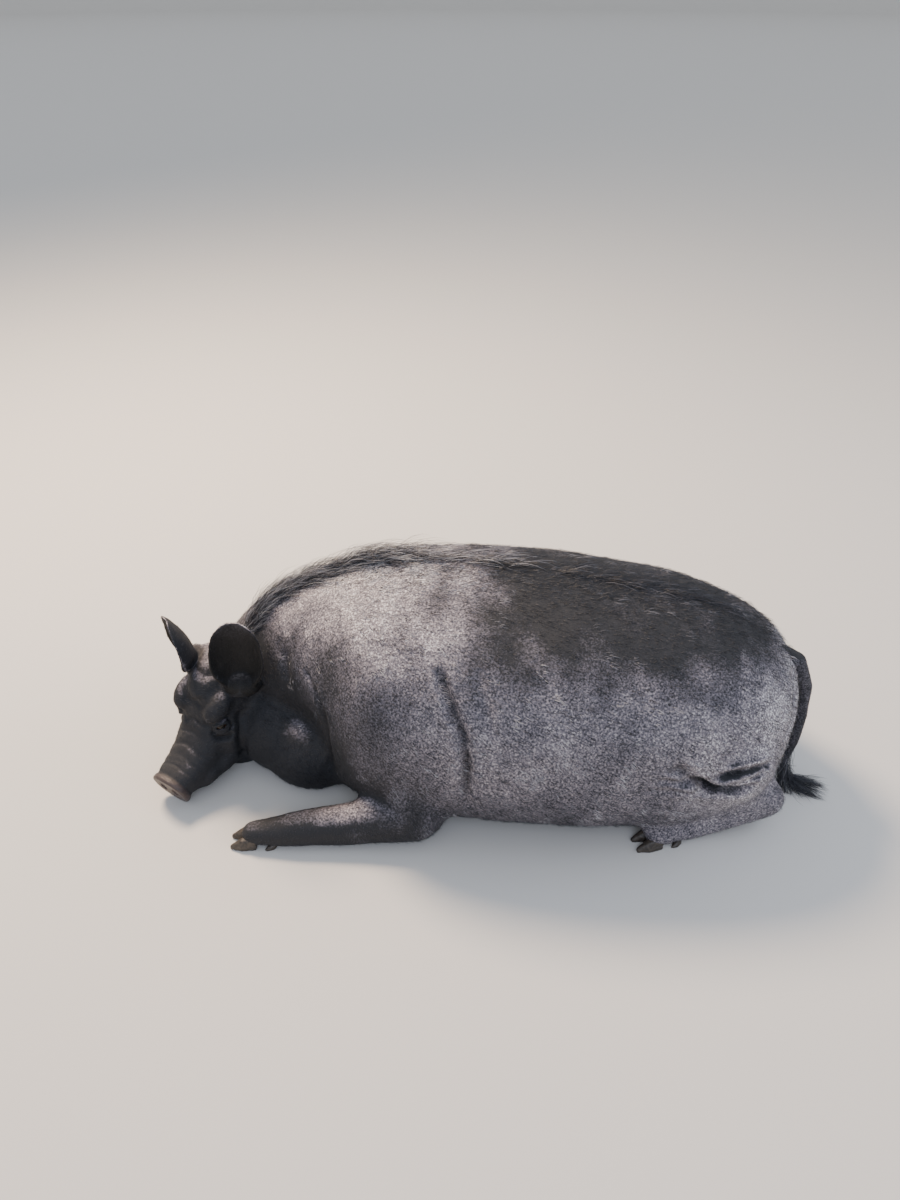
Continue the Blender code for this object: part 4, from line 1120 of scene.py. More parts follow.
def grow_skin(depth):
    """One skin for the whole pig, from snout to tail, with its folds, lids, mouth and nostrils."""
    core = flesh()
    points = coordinates(core)
    sunk = coat_depth_at(points, depth)
    move_to(core, points - normals_of(core) * sunk[:, None])
    lid_radius = EYE_RADIUS + LID_THICK
    pieces = [core, snout_plate()]
    for side in (1, -1):
        pieces.append(ball("lid_ball", eye_centre(side), (lid_radius,) * 3, HEAD_FRAME, 48, 32))
        pieces += [ear(side), ear_root(side)]
    pieces += capsules([joint._replace(radius=joint.radius - depth / 2) for joint in TAIL])
    skin = fused("skin", pieces, SKIN_VOXEL, SKIN_SOFTENING)
    roots = [head_point(*on_side(EAR_ROOT, side)) for side in (1, -1)]
    roots += [spot(joint) for joint in TAIL[:2]]
    skin = softened(skin, roots, EAR_SOFTENED, EAR_SOFTENING)
    skin = decimated(skin, "skin", SKIN_TRIANGLES)
    for side in (1, -1):
        refine(skin, near_point(skin, eye_centre(side), FINE_ABOUT_EYE))
        refine(skin, near_point(skin, eye_centre(side), FINEST_ABOUT_EYE))
    refine(skin, near_point(skin, head_point(*SNOUT_AT), FINE_ABOUT_SNOUT))
    for row in MOUTH_LINE[2:]:
        for side in (1, -1):
            refine(skin, near_point(skin, head_point(*on_side(row, side)), FINE_ABOUT_MOUTH))
    folds = all_folds()
    refine(skin, near_lines(skin, [fold.line for fold in folds if fold.width > NARROW_FOLD]))
    press_folds(skin, folds)
    wrinkle(skin)
    open_lids(skin)
    open_nostrils(skin)
    rest_on_floor(skin)
    skin.data.shade_smooth()
    return skin


def node_regions():
    """A tree of all the solids' faces of flesh, and the name of the node for each face."""
    corners = []
    polygons = []
    names = []
    for name in FLESH_NODES:
        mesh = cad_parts[name].data
        first = len(corners)
        corners += [vert.co.copy() for vert in mesh.vertices]
        polygons += [[first + index for index in face.vertices] for face in mesh.polygons]
        names += [FLESH_NODES.index(name)] * len(mesh.polygons)
    return BVHTree.FromPolygons(corners, polygons), np.array(names)


def label_regions(skin):
    """Says for each vertex of the skin which node of the solids it is nearest to."""
    tree, names = node_regions()
    found = [tree.find_nearest(vert.co)[2] for vert in skin.data.vertices]
    store(skin.data, "region", names[found])


def mark_skin(skin):
    """Keeps the hide's shade, where it is bare, the nearly black painted shade in folds and ears' cups,
    and the painted highlight on the ears' rims.
    """
    points, normals = coordinates(skin), normals_of(skin)
    regions = stored(skin.data, "region").astype(int)
    bare = smoothstep(-0.008, -0.001, snout_ahead(points)) * (snout_distance(points) < FINE_ABOUT_SNOUT)
    shade = shade_of(points, normals) * (1 - bare)
    shade[on_node(regions, "tail")] *= TAIL_SHADE
    # Painted shade inside the ears' cups, kept with the painted shade of the folds.
    cups = ear_cup_shade(points, normals, regions) * EAR_CUP_SHADE
    store(skin.data, "bare", bare)
    # The ears' rims get a painted highlight.
    store(skin.data, "shade", shade + ear_rim_highlight(normals, regions) * PAINTED_RIM_LIGHT)
    store(skin.data, "crease", np.maximum(stored(skin.data, "crease"), cups))


def segment_pull(points, start, end, reach):
    """How strongly a stretch from start to end pulls on each point, by its distance over reach."""
    distance, _ = distance_to_stretch(points, start, end)
    return (reach / np.maximum(distance, 1e-4)) ** 6


def lie_of(points, normals, regions):
    """The way the coat lies at each point: back and down the sides, and out along the limbs."""
    down = np.array((0, 0, -1.0))
    total = np.zeros_like(points)
    rows = body_rows()
    for back, front in zip(rows, rows[1:]):
        start, end = np.array(spot(front)), np.array(spot(back))
        way = (end - start) / np.linalg.norm(end - start)
        pull = segment_pull(points, start, end, front.left)
        total += (way + down * FLANK_DROP) * pull[:, None]
    way = np.array(head_way(-1, 0, 0.12))
    for one, other in zip(SKULL, SKULL[1:]):
        start = np.array(head_point(one.f, 0, one.bottom * 0.2))
        end = np.array(head_point(other.f, 0, other.bottom * 0.2))
        total += way * segment_pull(points, start, end, one.half * 1.15)[:, None]
    for chain in (FORELEG, HINDLEG):
        for side in (1, -1):
            joints = mirrored(chain, side)
            for one, other in zip(joints, joints[1:]):
                start, end = np.array(spot(one)), np.array(spot(other))
                way = (end - start) / np.linalg.norm(end - start)
                total += way * segment_pull(points, start, end, other.radius)[:, None]
    for side, name in EARS:
        total[on_node(regions, name)] = head_way(*EAR_RISES[side])
    total[on_node(regions, "tail")] = down
    flat = square_to(total, normals)
    return flat / np.maximum(np.linalg.norm(flat, axis=1, keepdims=True), 1e-9)


def triangles_of(mesh):
    mesh.calc_loop_triangles()
    corners = np.empty(len(mesh.loop_triangles) * 3, np.int32)
    mesh.loop_triangles.foreach_get("vertices", corners)
    return corners.reshape(-1, 3)


def unwrap_guide(skin):
    """A thin copy of the skin with an unwrap of its own shape, for placing tufts in OFBake."""
    guide = link("unwrap_guide", skin.data.copy())
    thin_out(guide, UNWRAP_TRIANGLES)
    guide = evaluated(guide, "unwrap_guide")
    bpy.ops.object.select_all(action="DESELECT")
    bpy.context.view_layer.objects.active = guide
    guide.select_set(True)
    bpy.ops.object.mode_set(mode="EDIT")
    bpy.ops.mesh.select_all(action="SELECT")
    bpy.ops.uv.smart_project(angle_limit=math.radians(70), island_margin=0.004)
    bpy.ops.object.mode_set(mode="OBJECT")
    return guide


def unwrap_places(guide, points):
    """Each point's place on the guide's unwrap."""
    tree = surface_of(guide)
    mesh = guide.data
    uv = np.empty(len(mesh.loops) * 2)
    mesh.uv_layers.active.data.foreach_get("uv", uv)
    uv = uv.reshape(-1, 2)
    starts = np.array([face.loop_start for face in mesh.polygons])
    corners = coordinates(guide)[np.array([list(face.vertices)[:3] for face in mesh.polygons])]
    found = np.array([tree.find_nearest(Vector(point))[2] for point in points.tolist()])
    a, b, c = (corners[found, index] for index in range(3))
    one, other, offset = b - a, c - a, points - a
    d11, d12, d22 = (np.sum(x * y, axis=1) for x, y in ((one, one), (one, other), (other, other)))
    d31, d32 = np.sum(offset * one, axis=1), np.sum(offset * other, axis=1)
    under = np.maximum(d11 * d22 - d12 * d12, 1e-18)
    v = np.clip((d22 * d31 - d12 * d32) / under, 0, 1)
    w = np.clip((d11 * d32 - d12 * d31) / under, 0, 1)
    shares = (1 - v - w, v, w)
    first = starts[found]
    return sum(uv[first + index] * share[:, None] for index, share in enumerate(shares))


def bristle_mesh(name, spine_points, asides, outs, widths, places, values):
    """Closed three-sided bristles. Spine points go from root to tip, and the tip is a point."""
    count, stations, _ = spine_points.shape
    rings = stations - 1
    turns = [2 * math.pi * corner / 3 + math.pi / 2 for corner in range(3)]
    verts = np.empty((count, rings * 3 + 1, 3), np.float32)
    for ring in range(rings):
        half = widths[ring] / 2
        for corner, turn in enumerate(turns):
            reach = asides * math.cos(turn) + outs * math.sin(turn) * BRISTLE_FLATNESS
            verts[:, ring * 3 + corner] = spine_points[:, ring] + reach * half[:, None]
    verts[:, -1] = spine_points[:, -1]
    verts[..., 2] = np.maximum(verts[..., 2], FLOOR_CLEARANCE)
    faces = [(0, 2, 1)]
    patch = [((0, 0), (1, 0), (0.5, 0.1))]
    for ring in range(rings - 1):
        for corner in range(3):
            after = (corner + 1) % 3
            low, high = ring * 3, ring * 3 + 3
            left, right = corner / 3, (corner + 1) / 3
            bottom, top = ring / rings, (ring + 1) / rings
            faces.append((low + corner, low + after, high + after))
            patch.append(((left, bottom), (right, bottom), (right, top)))
            faces.append((low + corner, high + after, high + corner))
            patch.append(((left, bottom), (right, top), (left, top)))
    last = (rings - 1) * 3
    for corner in range(3):
        faces.append((last + corner, last + (corner + 1) % 3, rings * 3))
        left, right = corner / 3, (corner + 1) / 3
        bottom = (rings - 1) / rings
        patch.append(((left, bottom), (right, bottom), ((left + right) / 2, 1)))
    size = rings * 3 + 1
    starts = np.arange(count, dtype=np.int32) * size
    corners = (starts[:, None, None] + np.array(faces, np.int32)[None]).reshape(-1)
    mesh = bpy.data.meshes.new(name)
    mesh.vertices.add(count * size)
    mesh.vertices.foreach_set("co", verts.reshape(-1))
    mesh.loops.add(len(corners))
    mesh.loops.foreach_set("vertex_index", corners)
    mesh.polygons.add(len(corners) // 3)
    mesh.polygons.foreach_set("loop_start", np.arange(0, len(corners), 3, dtype=np.int32))
    mesh.update(calc_edges=True)
    layer = mesh.uv_layers.new(name="OFBake")
    spread = np.array(patch, np.float32).reshape(1, -1, 2) * TUFT_PATCH
    layer.uv.foreach_set("vector", (places[:, None].astype(np.float32) + spread).reshape(-1))
    along = np.append(np.repeat(np.arange(rings) / rings, 3), 1.0)
    store(mesh, "tip", np.tile(along, count))
    for key, value in values.items():
        store(mesh, key, np.repeat(value, size))
    mesh.shade_smooth()
    return link(name, mesh)


def ear_cup_shade(points, normals, regions):
    """How much painted shade each point takes inside an ear's cup, from 0 to 1: most at the cup's root."""
    found = np.zeros(len(points))
    for side, name in EARS:
        there = on_node(regions, name)
        face = np.array(head_way(*EAR_FACES[side]).normalized())
        rise = np.array(head_way(*EAR_RISES[side]).normalized())
        root = np.array(head_point(*on_side(EAR_ROOT, side)))
        height = (points[there] - root) @ rise / EAR_LENGTHS[side]
        deep = 1 - 0.35 * smoothstep(0.6, 1.0, height)
        found[there] = smoothstep(0.0, 0.45, normals[there] @ face) * deep
        foot = 1 - smoothstep(0.018, 0.032, distance_from(points, root + rise * EAR_ROOT_RADII[0] / 2))
        found = np.maximum(found, foot * smoothstep(0.1, 0.6, normals @ rise))
    return found


def ear_rim_highlight(normals, regions):
    """Where a point is on the edge between an ear's cup and its back, from 0 to 1, where a painted
    highlight goes.
    """
    found = np.zeros(len(normals))
    for side, name in EARS:
        there = on_node(regions, name)
        face = np.array(head_way(*EAR_FACES[side]).normalized())
        found[there] = np.exp(-(((normals[there] @ face + 0.1) / 0.22) ** 2))
    return found


def shade_of(points, normals):
    """How grey the hide is at each point, from 0, black, to 1, with the painted light and shade named
    at the top.
    """
    back = points[:, 0]
    streaked = points * np.array((1.0, 0.6, 0.4))
    edge = back + lumps(streaked, 0.05, 7) * 0.10
    top = smoothstep(0.55, 1.0, normals[:, 2] + lumps(streaked, 0.03, 9) * 0.14)
    # A saddle along the back, darker and with painted leaf shadow over it.
    saddle = top * smoothstep(-0.15, 0.08, edge)
    # Painted light on the top of the withers.
    withers = top * (1 - smoothstep(-0.20, 0.0, edge))
    # Painted shade on the sides of the shoulders and neck.
    shoulder = (1 - top) * (1 - smoothstep(-0.26, 0.02, edge))
    # Painted light on the sides of the haunches.
    haunch = (1 - top) * smoothstep(0.20, 0.42, back)
    # A face that is dark, and painted in shade as well.
    face = 1 - smoothstep(0.16, 0.36, snout_distance(points))
    # Painted shade low down near the floor.
    low = 1 - smoothstep(0.04, 0.20, points[:, 2])
    patches = lumps(streaked, 0.045, 5) * 0.14 + lumps(points, 0.16, 6) * 0.10
    shade = COMMON_SHADE + patches - SADDLE_DARK_AND_SHADOW * saddle + WITHERS_LIGHT * withers
    shade = shade - SHOULDER_SHADE * shoulder + HAUNCH_LIGHT * haunch
    return np.clip(shade - FACE_DARK_AND_SHADE * face - LOW_SHADE * low, 0.05, 1)


def coat_roots(skin, count, density, seed):
    """Random places on the skin, as points, normals and nodes, in a fixed order."""
    draw = np.random.default_rng(seed)
    corners = triangles_of(skin.data)
    points = coordinates(skin)
    normals = normals_of(skin)
    regions = stored(skin.data, "region").astype(int)
    a, b, c = (points[corners[:, index]] for index in range(3))
    area = np.linalg.norm(np.cross(b - a, c - a), axis=1) / 2
    weight = area * density[corners].mean(axis=1)
    picked = np.searchsorted(np.cumsum(weight), draw.random(count) * weight.sum())
    picked = np.sort(np.minimum(picked, len(corners) - 1))
    one, other = draw.random(count), draw.random(count)
    fold = one + other > 1
    one, other = np.where(fold, 1 - one, one), np.where(fold, 1 - other, other)
    share = np.stack([1 - one - other, one, other], axis=1)[..., None]
    places = (points[corners[picked]] * share).sum(axis=1)
    out = unit((normals[corners[picked]] * share).sum(axis=1))
    return places, out, regions[corners[picked, 0]]


def tuft_middles(roots, size, seed):
    """For each root the index of the one that its tuft of about so many is gathered round."""
    draw = np.random.default_rng(seed)
    centres = draw.permutation(len(roots))[::size]
    tree = kdtree.KDTree(len(centres))
    for index, place in enumerate(roots[centres].tolist()):
        tree.insert(place, index)
    tree.balance()
    return centres[np.array([tree.find(place)[1] for place in roots.tolist()])]


def clumped(tips, roots, strength, seed):
    """Draws the tips of neighbouring bristles together, as they lie in tufts."""
    middle = tuft_middles(roots, TUFT_SIZE, seed)
    shift = (tips[middle] - roots[middle]) - (tips - roots)
    gather = roots[middle] - roots
    return tips + (shift * 0.5 + gather) * strength[:, None]


def lay_bristles(name, roots, out, lie, length, width, lift, look, places, values, seed):
    """Bristles that leave the skin at lift, bend down along the lie and end close to it."""
    draw = np.random.default_rng(seed)
    count = len(roots)
    heading = swung(lie, np.cross(out, lie), draw.normal(0, look.sway, count))
    rise = np.tan(lift)
    tips = roots + (heading + out * (rise * (1 - look.curl))[:, None]) * length[:, None]
    tips = clumped(tips, roots, draw.uniform(0, look.gather, count), seed)
    share = np.linspace(0, 1, look.stations)
    bulge = rise * look.curl * length
    spine_points = np.empty((count, look.stations, 3))
    for index, along in enumerate(share):
        spine_points[:, index] = roots + (tips - roots) * along
        spine_points[:, index] += out * (bulge * 4 * along * (1 - along))[:, None]
    spine_points[:, 0] -= out * ROOT_SUNK
    direction = unit(tips - roots)
    aside = unit(np.cross(out, direction))
    widths = [width * (1 - along**2 * 0.75) for along in share[:-1]]
    upward = np.cross(direction, aside)
    return bristle_mesh(name, spine_points, aside, upward, widths, places, values)


def add_node(tree, kind, settings=None, links=None):
    """A node with its settings, and its inputs linked to outputs or set to values."""
    made = tree.nodes.new(kind)
    for key, value in (settings or {}).items():
        setattr(made, key, value)
    for key, value in (links or {}).items():
        if isinstance(value, bpy.types.NodeSocket):
            tree.links.new(value, made.inputs[key])
        else:
            made.inputs[key].default_value = value
    return made


def new_material(name):
    material = bpy.data.materials.new(name)
    material.use_nodes = True
    material.node_tree.nodes.clear()
    return material, material.node_tree


def close_material(tree, shader):
    add_node(tree, "ShaderNodeOutputMaterial", links={"Surface": shader.outputs["BSDF"]})


def set_ramp(node, stops):
    """Gives a colour ramp its stops, each a place and an sRGB hex colour."""
    elements = node.color_ramp.elements
    while len(elements) < len(stops):
        elements.new(0.5)
    for element, (place, colour) in zip(elements, stops):
        element.position = place
        element.color = (*linear(colour), 1)


def hide_material(colours):
    """Thick bare hide: dull, cracked and peppered, painted dark with shade in its creases and ears'
    cups, and damp on the snout.
    """
    material, tree = new_material("wrinkled_pig_hide")
    shade, crease, bare = (
        add_node(tree, "ShaderNodeAttribute", {"attribute_name": name}).outputs["Fac"]
        for name in ("shade", "crease", "bare")
    )
    place = add_node(tree, "ShaderNodeTexCoord").outputs["Object"]
    blotches, pepper, grain = (
        add_node(tree, "ShaderNodeTexNoise", links={"Vector": place, "Scale": 1 / size, "Detail": detail})
        for size, detail in ((0.018, 5.0), (0.0030, 3.0), (0.0015, 3.0))
    )
    mixed = add_node(
        tree,
        "ShaderNodeMath",
        {"operation": "MULTIPLY_ADD"},
        {0: blotches.outputs["Fac"], 1: BLOTCH_STRENGTH, 2: shade},
    )
    speck = add_node(
        tree,
        "ShaderNodeMapRange",
        links={0: pepper.outputs["Fac"], 1: 0.32, 2: 0.68, 3: PEPPER_DARK, 4: PEPPER_LIGHT},
    )
    strength = add_node(
        tree, "ShaderNodeMapRange", links={0: shade, 1: 0.10, 2: 0.50, 3: 0.22, 4: 1.0}
    )
    peppered = add_node(
        tree,
        "ShaderNodeMath",
        {"operation": "MULTIPLY_ADD"},
        {0: speck.outputs[0], 1: strength.outputs[0], 2: mixed.outputs[0]},
    )
    evened = add_node(
        tree, "ShaderNodeMath", {"operation": "MULTIPLY"}, {0: peppered.outputs[0], 1: 0.80}
    )
    ramp = add_node(tree, "ShaderNodeValToRGB", links={"Fac": evened.outputs[0]})
    stops = (colours.hide_dark, colours.hide, colours.hide_light, colours.bristle_pale)
    set_ramp(ramp, tuple(zip((0.27, 0.54, 0.80, 1.0), stops)))
    with_snout = add_node(
        tree,
        "ShaderNodeMix",
        {"data_type": "RGBA"},
        {"Factor": bare, 6: ramp.outputs["Color"], 7: (*linear(colours.snout), 1)},
    )
    damp = add_node(tree, "ShaderNodeMapRange", links={0: bare, 3: 0.70, 4: 0.44})
    # Painted shade in creases and the ears' cups, multiplied into the colour.
    dark = add_node(
        tree,
        "ShaderNodeMix",
        {"data_type": "RGBA", "blend_type": "MULTIPLY"},
        {"Factor": crease, 6: with_snout.outputs[2], 7: (*linear(CREASE_SHADE_COLOUR), 1)},
    )
    cracks = add_node(
        tree,
        "ShaderNodeTexVoronoi",
        {"feature": "DISTANCE_TO_EDGE"},
        {"Vector": place, "Scale": 1 / 0.0032},
    )
    height = add_node(
        tree,
        "ShaderNodeMath",
        {"operation": "MULTIPLY_ADD"},
        {0: cracks.outputs["Distance"], 1: 0.8, 2: grain.outputs["Fac"]},
    )
    bump = add_node(
        tree,
        "ShaderNodeBump",
        links={"Height": height.outputs[0], "Strength": 0.55, "Distance": 0.0012},
    )
    shader = add_node(
        tree,
        "ShaderNodeBsdfPrincipled",
        links={
            "Base Color": dark.outputs[2],
            "Roughness": damp.outputs[0],
            "IOR": 1.45,
            "Normal": bump.outputs["Normal"],
        },
    )
    close_material(tree, shader)
    return material


def bristle_material(name, stops, roughness):
    """Coarse bristles: keratin with a soft gloss, black to pale grey from one to the next."""
    material, tree = new_material(name)
    tone = add_node(tree, "ShaderNodeAttribute", {"attribute_name": "tone"})
    ramp = add_node(tree, "ShaderNodeValToRGB", links={"Fac": tone.outputs["Fac"]})
    set_ramp(ramp, stops)
    shader = add_node(
        tree,
        "ShaderNodeBsdfPrincipled",
        links={"Base Color": ramp.outputs["Color"], "Roughness": roughness, "IOR": 1.55},
    )
    close_material(tree, shader)
    return material


def coat_stops(colours):
    return (
        (0.0, colours.bristle_black),
        (0.40, colours.bristle_dark),
        (0.70, colours.bristle_grey),
        (1.0, colours.bristle_pale),
    )


def tones(shade, draw):
    """Salt and pepper: dark bristles and pale ones side by side, more of them pale by shade."""
    pale = draw.random(len(shade)) < shade
    dark_tone = draw.beta(2.0, 4.0, len(shade)) * 0.55
    brightness = 0.6 + 0.4 * smoothstep(0.1, 0.4, shade)
    pale_tone = (1 - draw.beta(2.0, 3.0, len(shade)) * 0.55) * brightness
    return np.where(pale, pale_tone, dark_tone)


def reach_to_foot(points, name):
    """The distance of each point from the foot of the named leg."""
    chain = mirrored(FORELEG if "fore" in name else HINDLEG, 1 if "left" in name else -1)
    return distance_from(points, spot(chain[-1]))


def coat_length_at(points, regions, length):
    """Bristles grow longer from the snout back, and stay short on ears, legs and tail."""
    shares = np.interp(snout_distance(points), *SNOUT_SHORTENING)
    crest = np.exp(-(((points[:, 1] - BODY_MIDDLE_Y - CREST_ASIDE) / CREST_HALF_WIDTH) ** 2))
    shares *= 1 + CREST_GAIN * crest * smoothstep(-0.32, -0.20, points[:, 0])
    for name in LEGS:
        there = on_node(regions, name)
        shares[there] *= np.interp(reach_to_foot(points[there], name), *LEG_SHORTENING)
    for _, name in EARS:
        shares[on_node(regions, name)] = EAR_SHORTENING
    shares[on_node(regions, "tail")] = TAIL_SHORTENING
    return shares * length


def coat_density(skin):
    """How thickly each vertex of the skin is set with bristles, where 1 is the flank."""
    points, normals = coordinates(skin), normals_of(skin)
    regions = stored(skin.data, "region").astype(int)
    dense = np.ones(len(points))
    from_snout = snout_distance(points)
    dense[from_snout < HEAD_REACH] = HEAD_DENSITY
    dense[(snout_ahead(points) > 0.002) & (from_snout < 0.06)] = 0
    for side in (1, -1):
        _, along, across = (np.array(way) for way in eye_frame(side))
        offset = points - np.array(eye_centre(side))
        half_length, half_width = BARE_EYE_HALF_LENGTH, BARE_EYE_HALF_WIDTH
        measure = np.hypot(offset @ along / half_length, offset @ across / half_width)
        dense[(measure < 1) & (np.linalg.norm(offset, axis=1) < FINE_ABOUT_EYE)] = 0
    for _, name in EARS:
        dense[on_node(regions, name)] = HEAD_DENSITY
    dense[points[:, 2] < 0.004] = 0
    dense[(normals[:, 2] < -0.75) & (points[:, 2] < 0.03)] = 0
    return dense


def combed(roots, out, lie, seed):
    """The lie turned a little this way and that in soft swirls."""
    turn = lumps(roots, 0.06, seed) * 0.30 + lumps(roots, 0.013, seed + 1) * 0.14
    return swung(lie, np.cross(out, lie), turn)


def coat_tones(roots, out, regions, seed, draw):
    """The tone of each bristle by the shade of its place, painted light and shade with it, much alike
    within a small tuft.
    """
    shade = shade_of(roots, out)
    shade[on_node(regions, "tail")] *= TAIL_SHADE
    # The ears' rims get a painted highlight, as paler bristles.
    shade = np.clip(shade * PALE_SHARE + ear_rim_highlight(out, regions) * PAINTED_RIM_LIGHT, 0, 1)
    shade += lumps(roots, TUFT_SPACING, seed) * TUFT_CONTRAST * np.minimum(1, shade * 2.5)
    # Bristles in the ears' cups are darkened as painted shade.
    tone = tones(shade, draw) * (1 - EAR_CUP_BRISTLE_SHADE * ear_cup_shade(roots, out, regions))
    alike = tone[tuft_middles(roots, TONE_TUFT_SIZE, seed)]
    return tone + (alike - tone) * TUFT_LIKENESS


def grow_coat(skin, guide, material, sizes):
    """Both layers of bristles over the whole skin, split into pieces from head to rump."""
    made = []
    density = coat_density(skin)
    for seed, coat in enumerate(COATS, 11):
        draw = np.random.default_rng(seed + 100)
        roots, out, regions = coat_roots(skin, coat.count, density, seed)
        lie = combed(roots, out, lie_of(roots, out, regions), seed)
        length = coat_length_at(roots, regions, sizes.coat_length * coat.length)
        width = coat.width * np.clip(length / sizes.coat_length, 0.60, 1.1)
        length *= draw.uniform(*LENGTH_SPREAD, len(roots))
        lift = np.radians(coat.lift) * draw.uniform(*LIFT_SPREAD, len(roots))
        tone = coat_tones(roots, out, regions, seed, draw)
        places = unwrap_places(guide, roots)
        triangles = 6 * coat.stations - 8
        pieces = math.ceil(coat.count * triangles / MOST_TRIANGLES)
        order = np.argsort(roots[:, 0], kind="stable")
        for number, part in enumerate(np.array_split(order, pieces)):
            name = f"{coat.name}_{number}"
            rows = (array[part] for array in (roots, out, lie, length, width, lift))
            values = {"tone": tone[part]}
            piece = lay_bristles(name, *rows, coat, places[part], values, seed + number)
            piece.data.materials.append(material)
            made.append(piece)
    return made


def spine_path():
    """Places along the top of the body from the poll to the hips, and their shares of the way."""
    tops = []
    for station in body_rows()[::-1]:
        _, _, up = facing(station.yaw, station.pitch)
        tops.append(spot(station) + up * station.up)
    tops = np.array(tops[:-ROWS_WITHOUT_MANE])
    lengths = np.concatenate([[0], np.cumsum(np.linalg.norm(np.diff(tops, axis=0), axis=1))])
    return tops, lengths / lengths[-1]


def along_spine(wanted):
    """The places at the wanted shares of the way along the top of the body."""
    tops, shares = spine_path()
    return np.stack([np.interp(wanted, shares, tops[:, axis]) for axis in range(3)], axis=1)


def grow_mane(skin, guide, material, sizes):
    """The crest of long black bristles along neck and back, in flat locks that lie backwards."""
    draw = np.random.default_rng(21)
    surface = surface_of(skin)
    steps = np.linspace(0, 1, 200)
    filled = np.cumsum(np.interp(steps, MANE_KEYS, MANE_THICKNESS))
    locks = np.interp(np.sort(draw.random(MANE_LOCKS)) * filled[-1], filled, steps)
    lock_of = draw.integers(0, MANE_LOCKS, MANE.count)
    lock_shift = draw.normal(0, MANE_HALF_WIDTH * 0.5, MANE_LOCKS)
    lock_turn = draw.normal(0, LOCK_TURN, MANE_LOCKS) + lock_shift / MANE_HALF_WIDTH * LOCK_FAN
    along = np.clip(locks[lock_of] + draw.normal(0, LOCK_HALF_LENGTH, MANE.count), 0, 1)
    shift = lock_shift[lock_of] + draw.normal(0, LOCK_HALF_WIDTH, MANE.count)
    shift += np.interp(along, MANE_KEYS, MANE_SHIFTS)
    back = unit(along_spine(along + 0.01) - along_spine(along - 0.01))
    aside = unit(np.cross(np.array((0, 0, 1.0)), back))
    wanted = along_spine(along) + aside * shift[:, None]
    found = [surface.find_nearest(Vector(point))[:2] for point in wanted.tolist()]
    roots, out = (np.array(column) for column in zip(*found))
    turn = lock_turn[lock_of] + draw.normal(0, BRISTLE_TURN, MANE.count)
    lie = unit(square_to(swung(back, aside, turn), out))
    length = np.interp(along, MANE_KEYS, MANE_LENGTHS) * draw.uniform(0.6, 1.12, MANE.count)
    length *= sizes.mane_length / max(MANE_LENGTHS)
    rise = np.interp(along, MANE_KEYS, MANE_RISES) * draw.uniform(0.4, 1.25, MANE.count)
    middle = np.exp(-((lock_shift[lock_of] / (MANE_HALF_WIDTH * 0.5)) ** 2))
    flatter = MANE_EDGE_LIFT + (1 - MANE_EDGE_LIFT) * middle
    lift = np.arctan(rise / length) * MANE_LIFT * flatter
    width = np.full(MANE.count, MANE.width)
    values = {"tone": tones(np.interp(along, MANE_KEYS, MANE_SHADES), draw)}
    places = unwrap_places(guide, roots)
    piece = lay_bristles(MANE.name, roots, out, lie, length, width, lift, MANE, places, values, 22)
    piece.data.materials.append(material)
    return piece


def grow_switch(guide, material):
    """The tail's switch: long bristles from its last stretch that fan out over the floor."""
    draw = np.random.default_rng(31)
    count = SWITCH.count
    line = np.array([spot(joint) for joint in TAIL[-SWITCH_JOINTS:]])
    share = draw.beta(2.0, 1.0, count) * (len(line) - 1)
    index = np.minimum(share.astype(int), len(line) - 2)
    stretch = line[index + 1] - line[index]
    along = unit(stretch)
    around = unit(square_to(draw.normal(0, 1, (count, 3)), along))
    roots = line[index] + stretch * (share - index)[:, None] + around * SWITCH_REACH
    roots[:, 2] = np.maximum(roots[:, 2], 0.003)
    length = draw.uniform(*SWITCH_LENGTHS, count)
    width = np.full(count, SWITCH.width)
    lift = np.full(count, math.radians(SWITCH.lift))
    values = {"tone": tones(np.full(count, SWITCH_SHADE), draw)}
    places = unwrap_places(guide, roots)
    piece = lay_bristles(
        SWITCH.name, roots, around, along, length, width, lift, SWITCH, places, values, 32
    )
    piece.data.materials.append(material)
    return piece


def eye_material(colours):
    """A wet eye: a dark brown iris round a black pupil, under a clear gloss."""
    material, tree = new_material("wet_brown_eye")
    gaze = add_node(tree, "ShaderNodeAttribute", {"attribute_name": "gaze"})
    ramp = add_node(tree, "ShaderNodeValToRGB", links={"Fac": gaze.outputs["Fac"]})
    tints = ("#050404", "#080605", colours.iris, "#2b1a10", "#0d0a09", "#4a3f39")
    set_ramp(ramp, tuple(zip((0.0, 0.30, 0.36, 0.60, 0.68, 1.0), tints)))
    shader = add_node(
        tree,
        "ShaderNodeBsdfPrincipled",
        links={"Base Color": ramp.outputs["Color"], "Roughness": 0.04, "IOR": 1.376},
    )
    close_material(tree, shader)
    return material


def make_eye(side):
    """An eyeball with the cornea's bulge, looking out of its lids."""
    out, along, across = eye_frame(side)
    name = f"eyeball_{'left' if side == 1 else 'right'}"
    eye = ball(name, eye_centre(side), (EYE_RADIUS,) * 3, (along, across, out), 64, 48)
    points = coordinates(eye)
    offset = points - np.array(eye_centre(side))
    facing_out = (offset @ np.array(out)) / EYE_RADIUS
    bulge = smoothstep(0.72, 0.95, facing_out) * CORNEA_BULGE
    points += np.array(out) * bulge[:, None]
    move_to(eye, points)
    store(eye.data, "gaze", np.arccos(np.clip(facing_out, -1, 1)) / (math.pi / 2))
    eye.data.shade_smooth()
    return eye


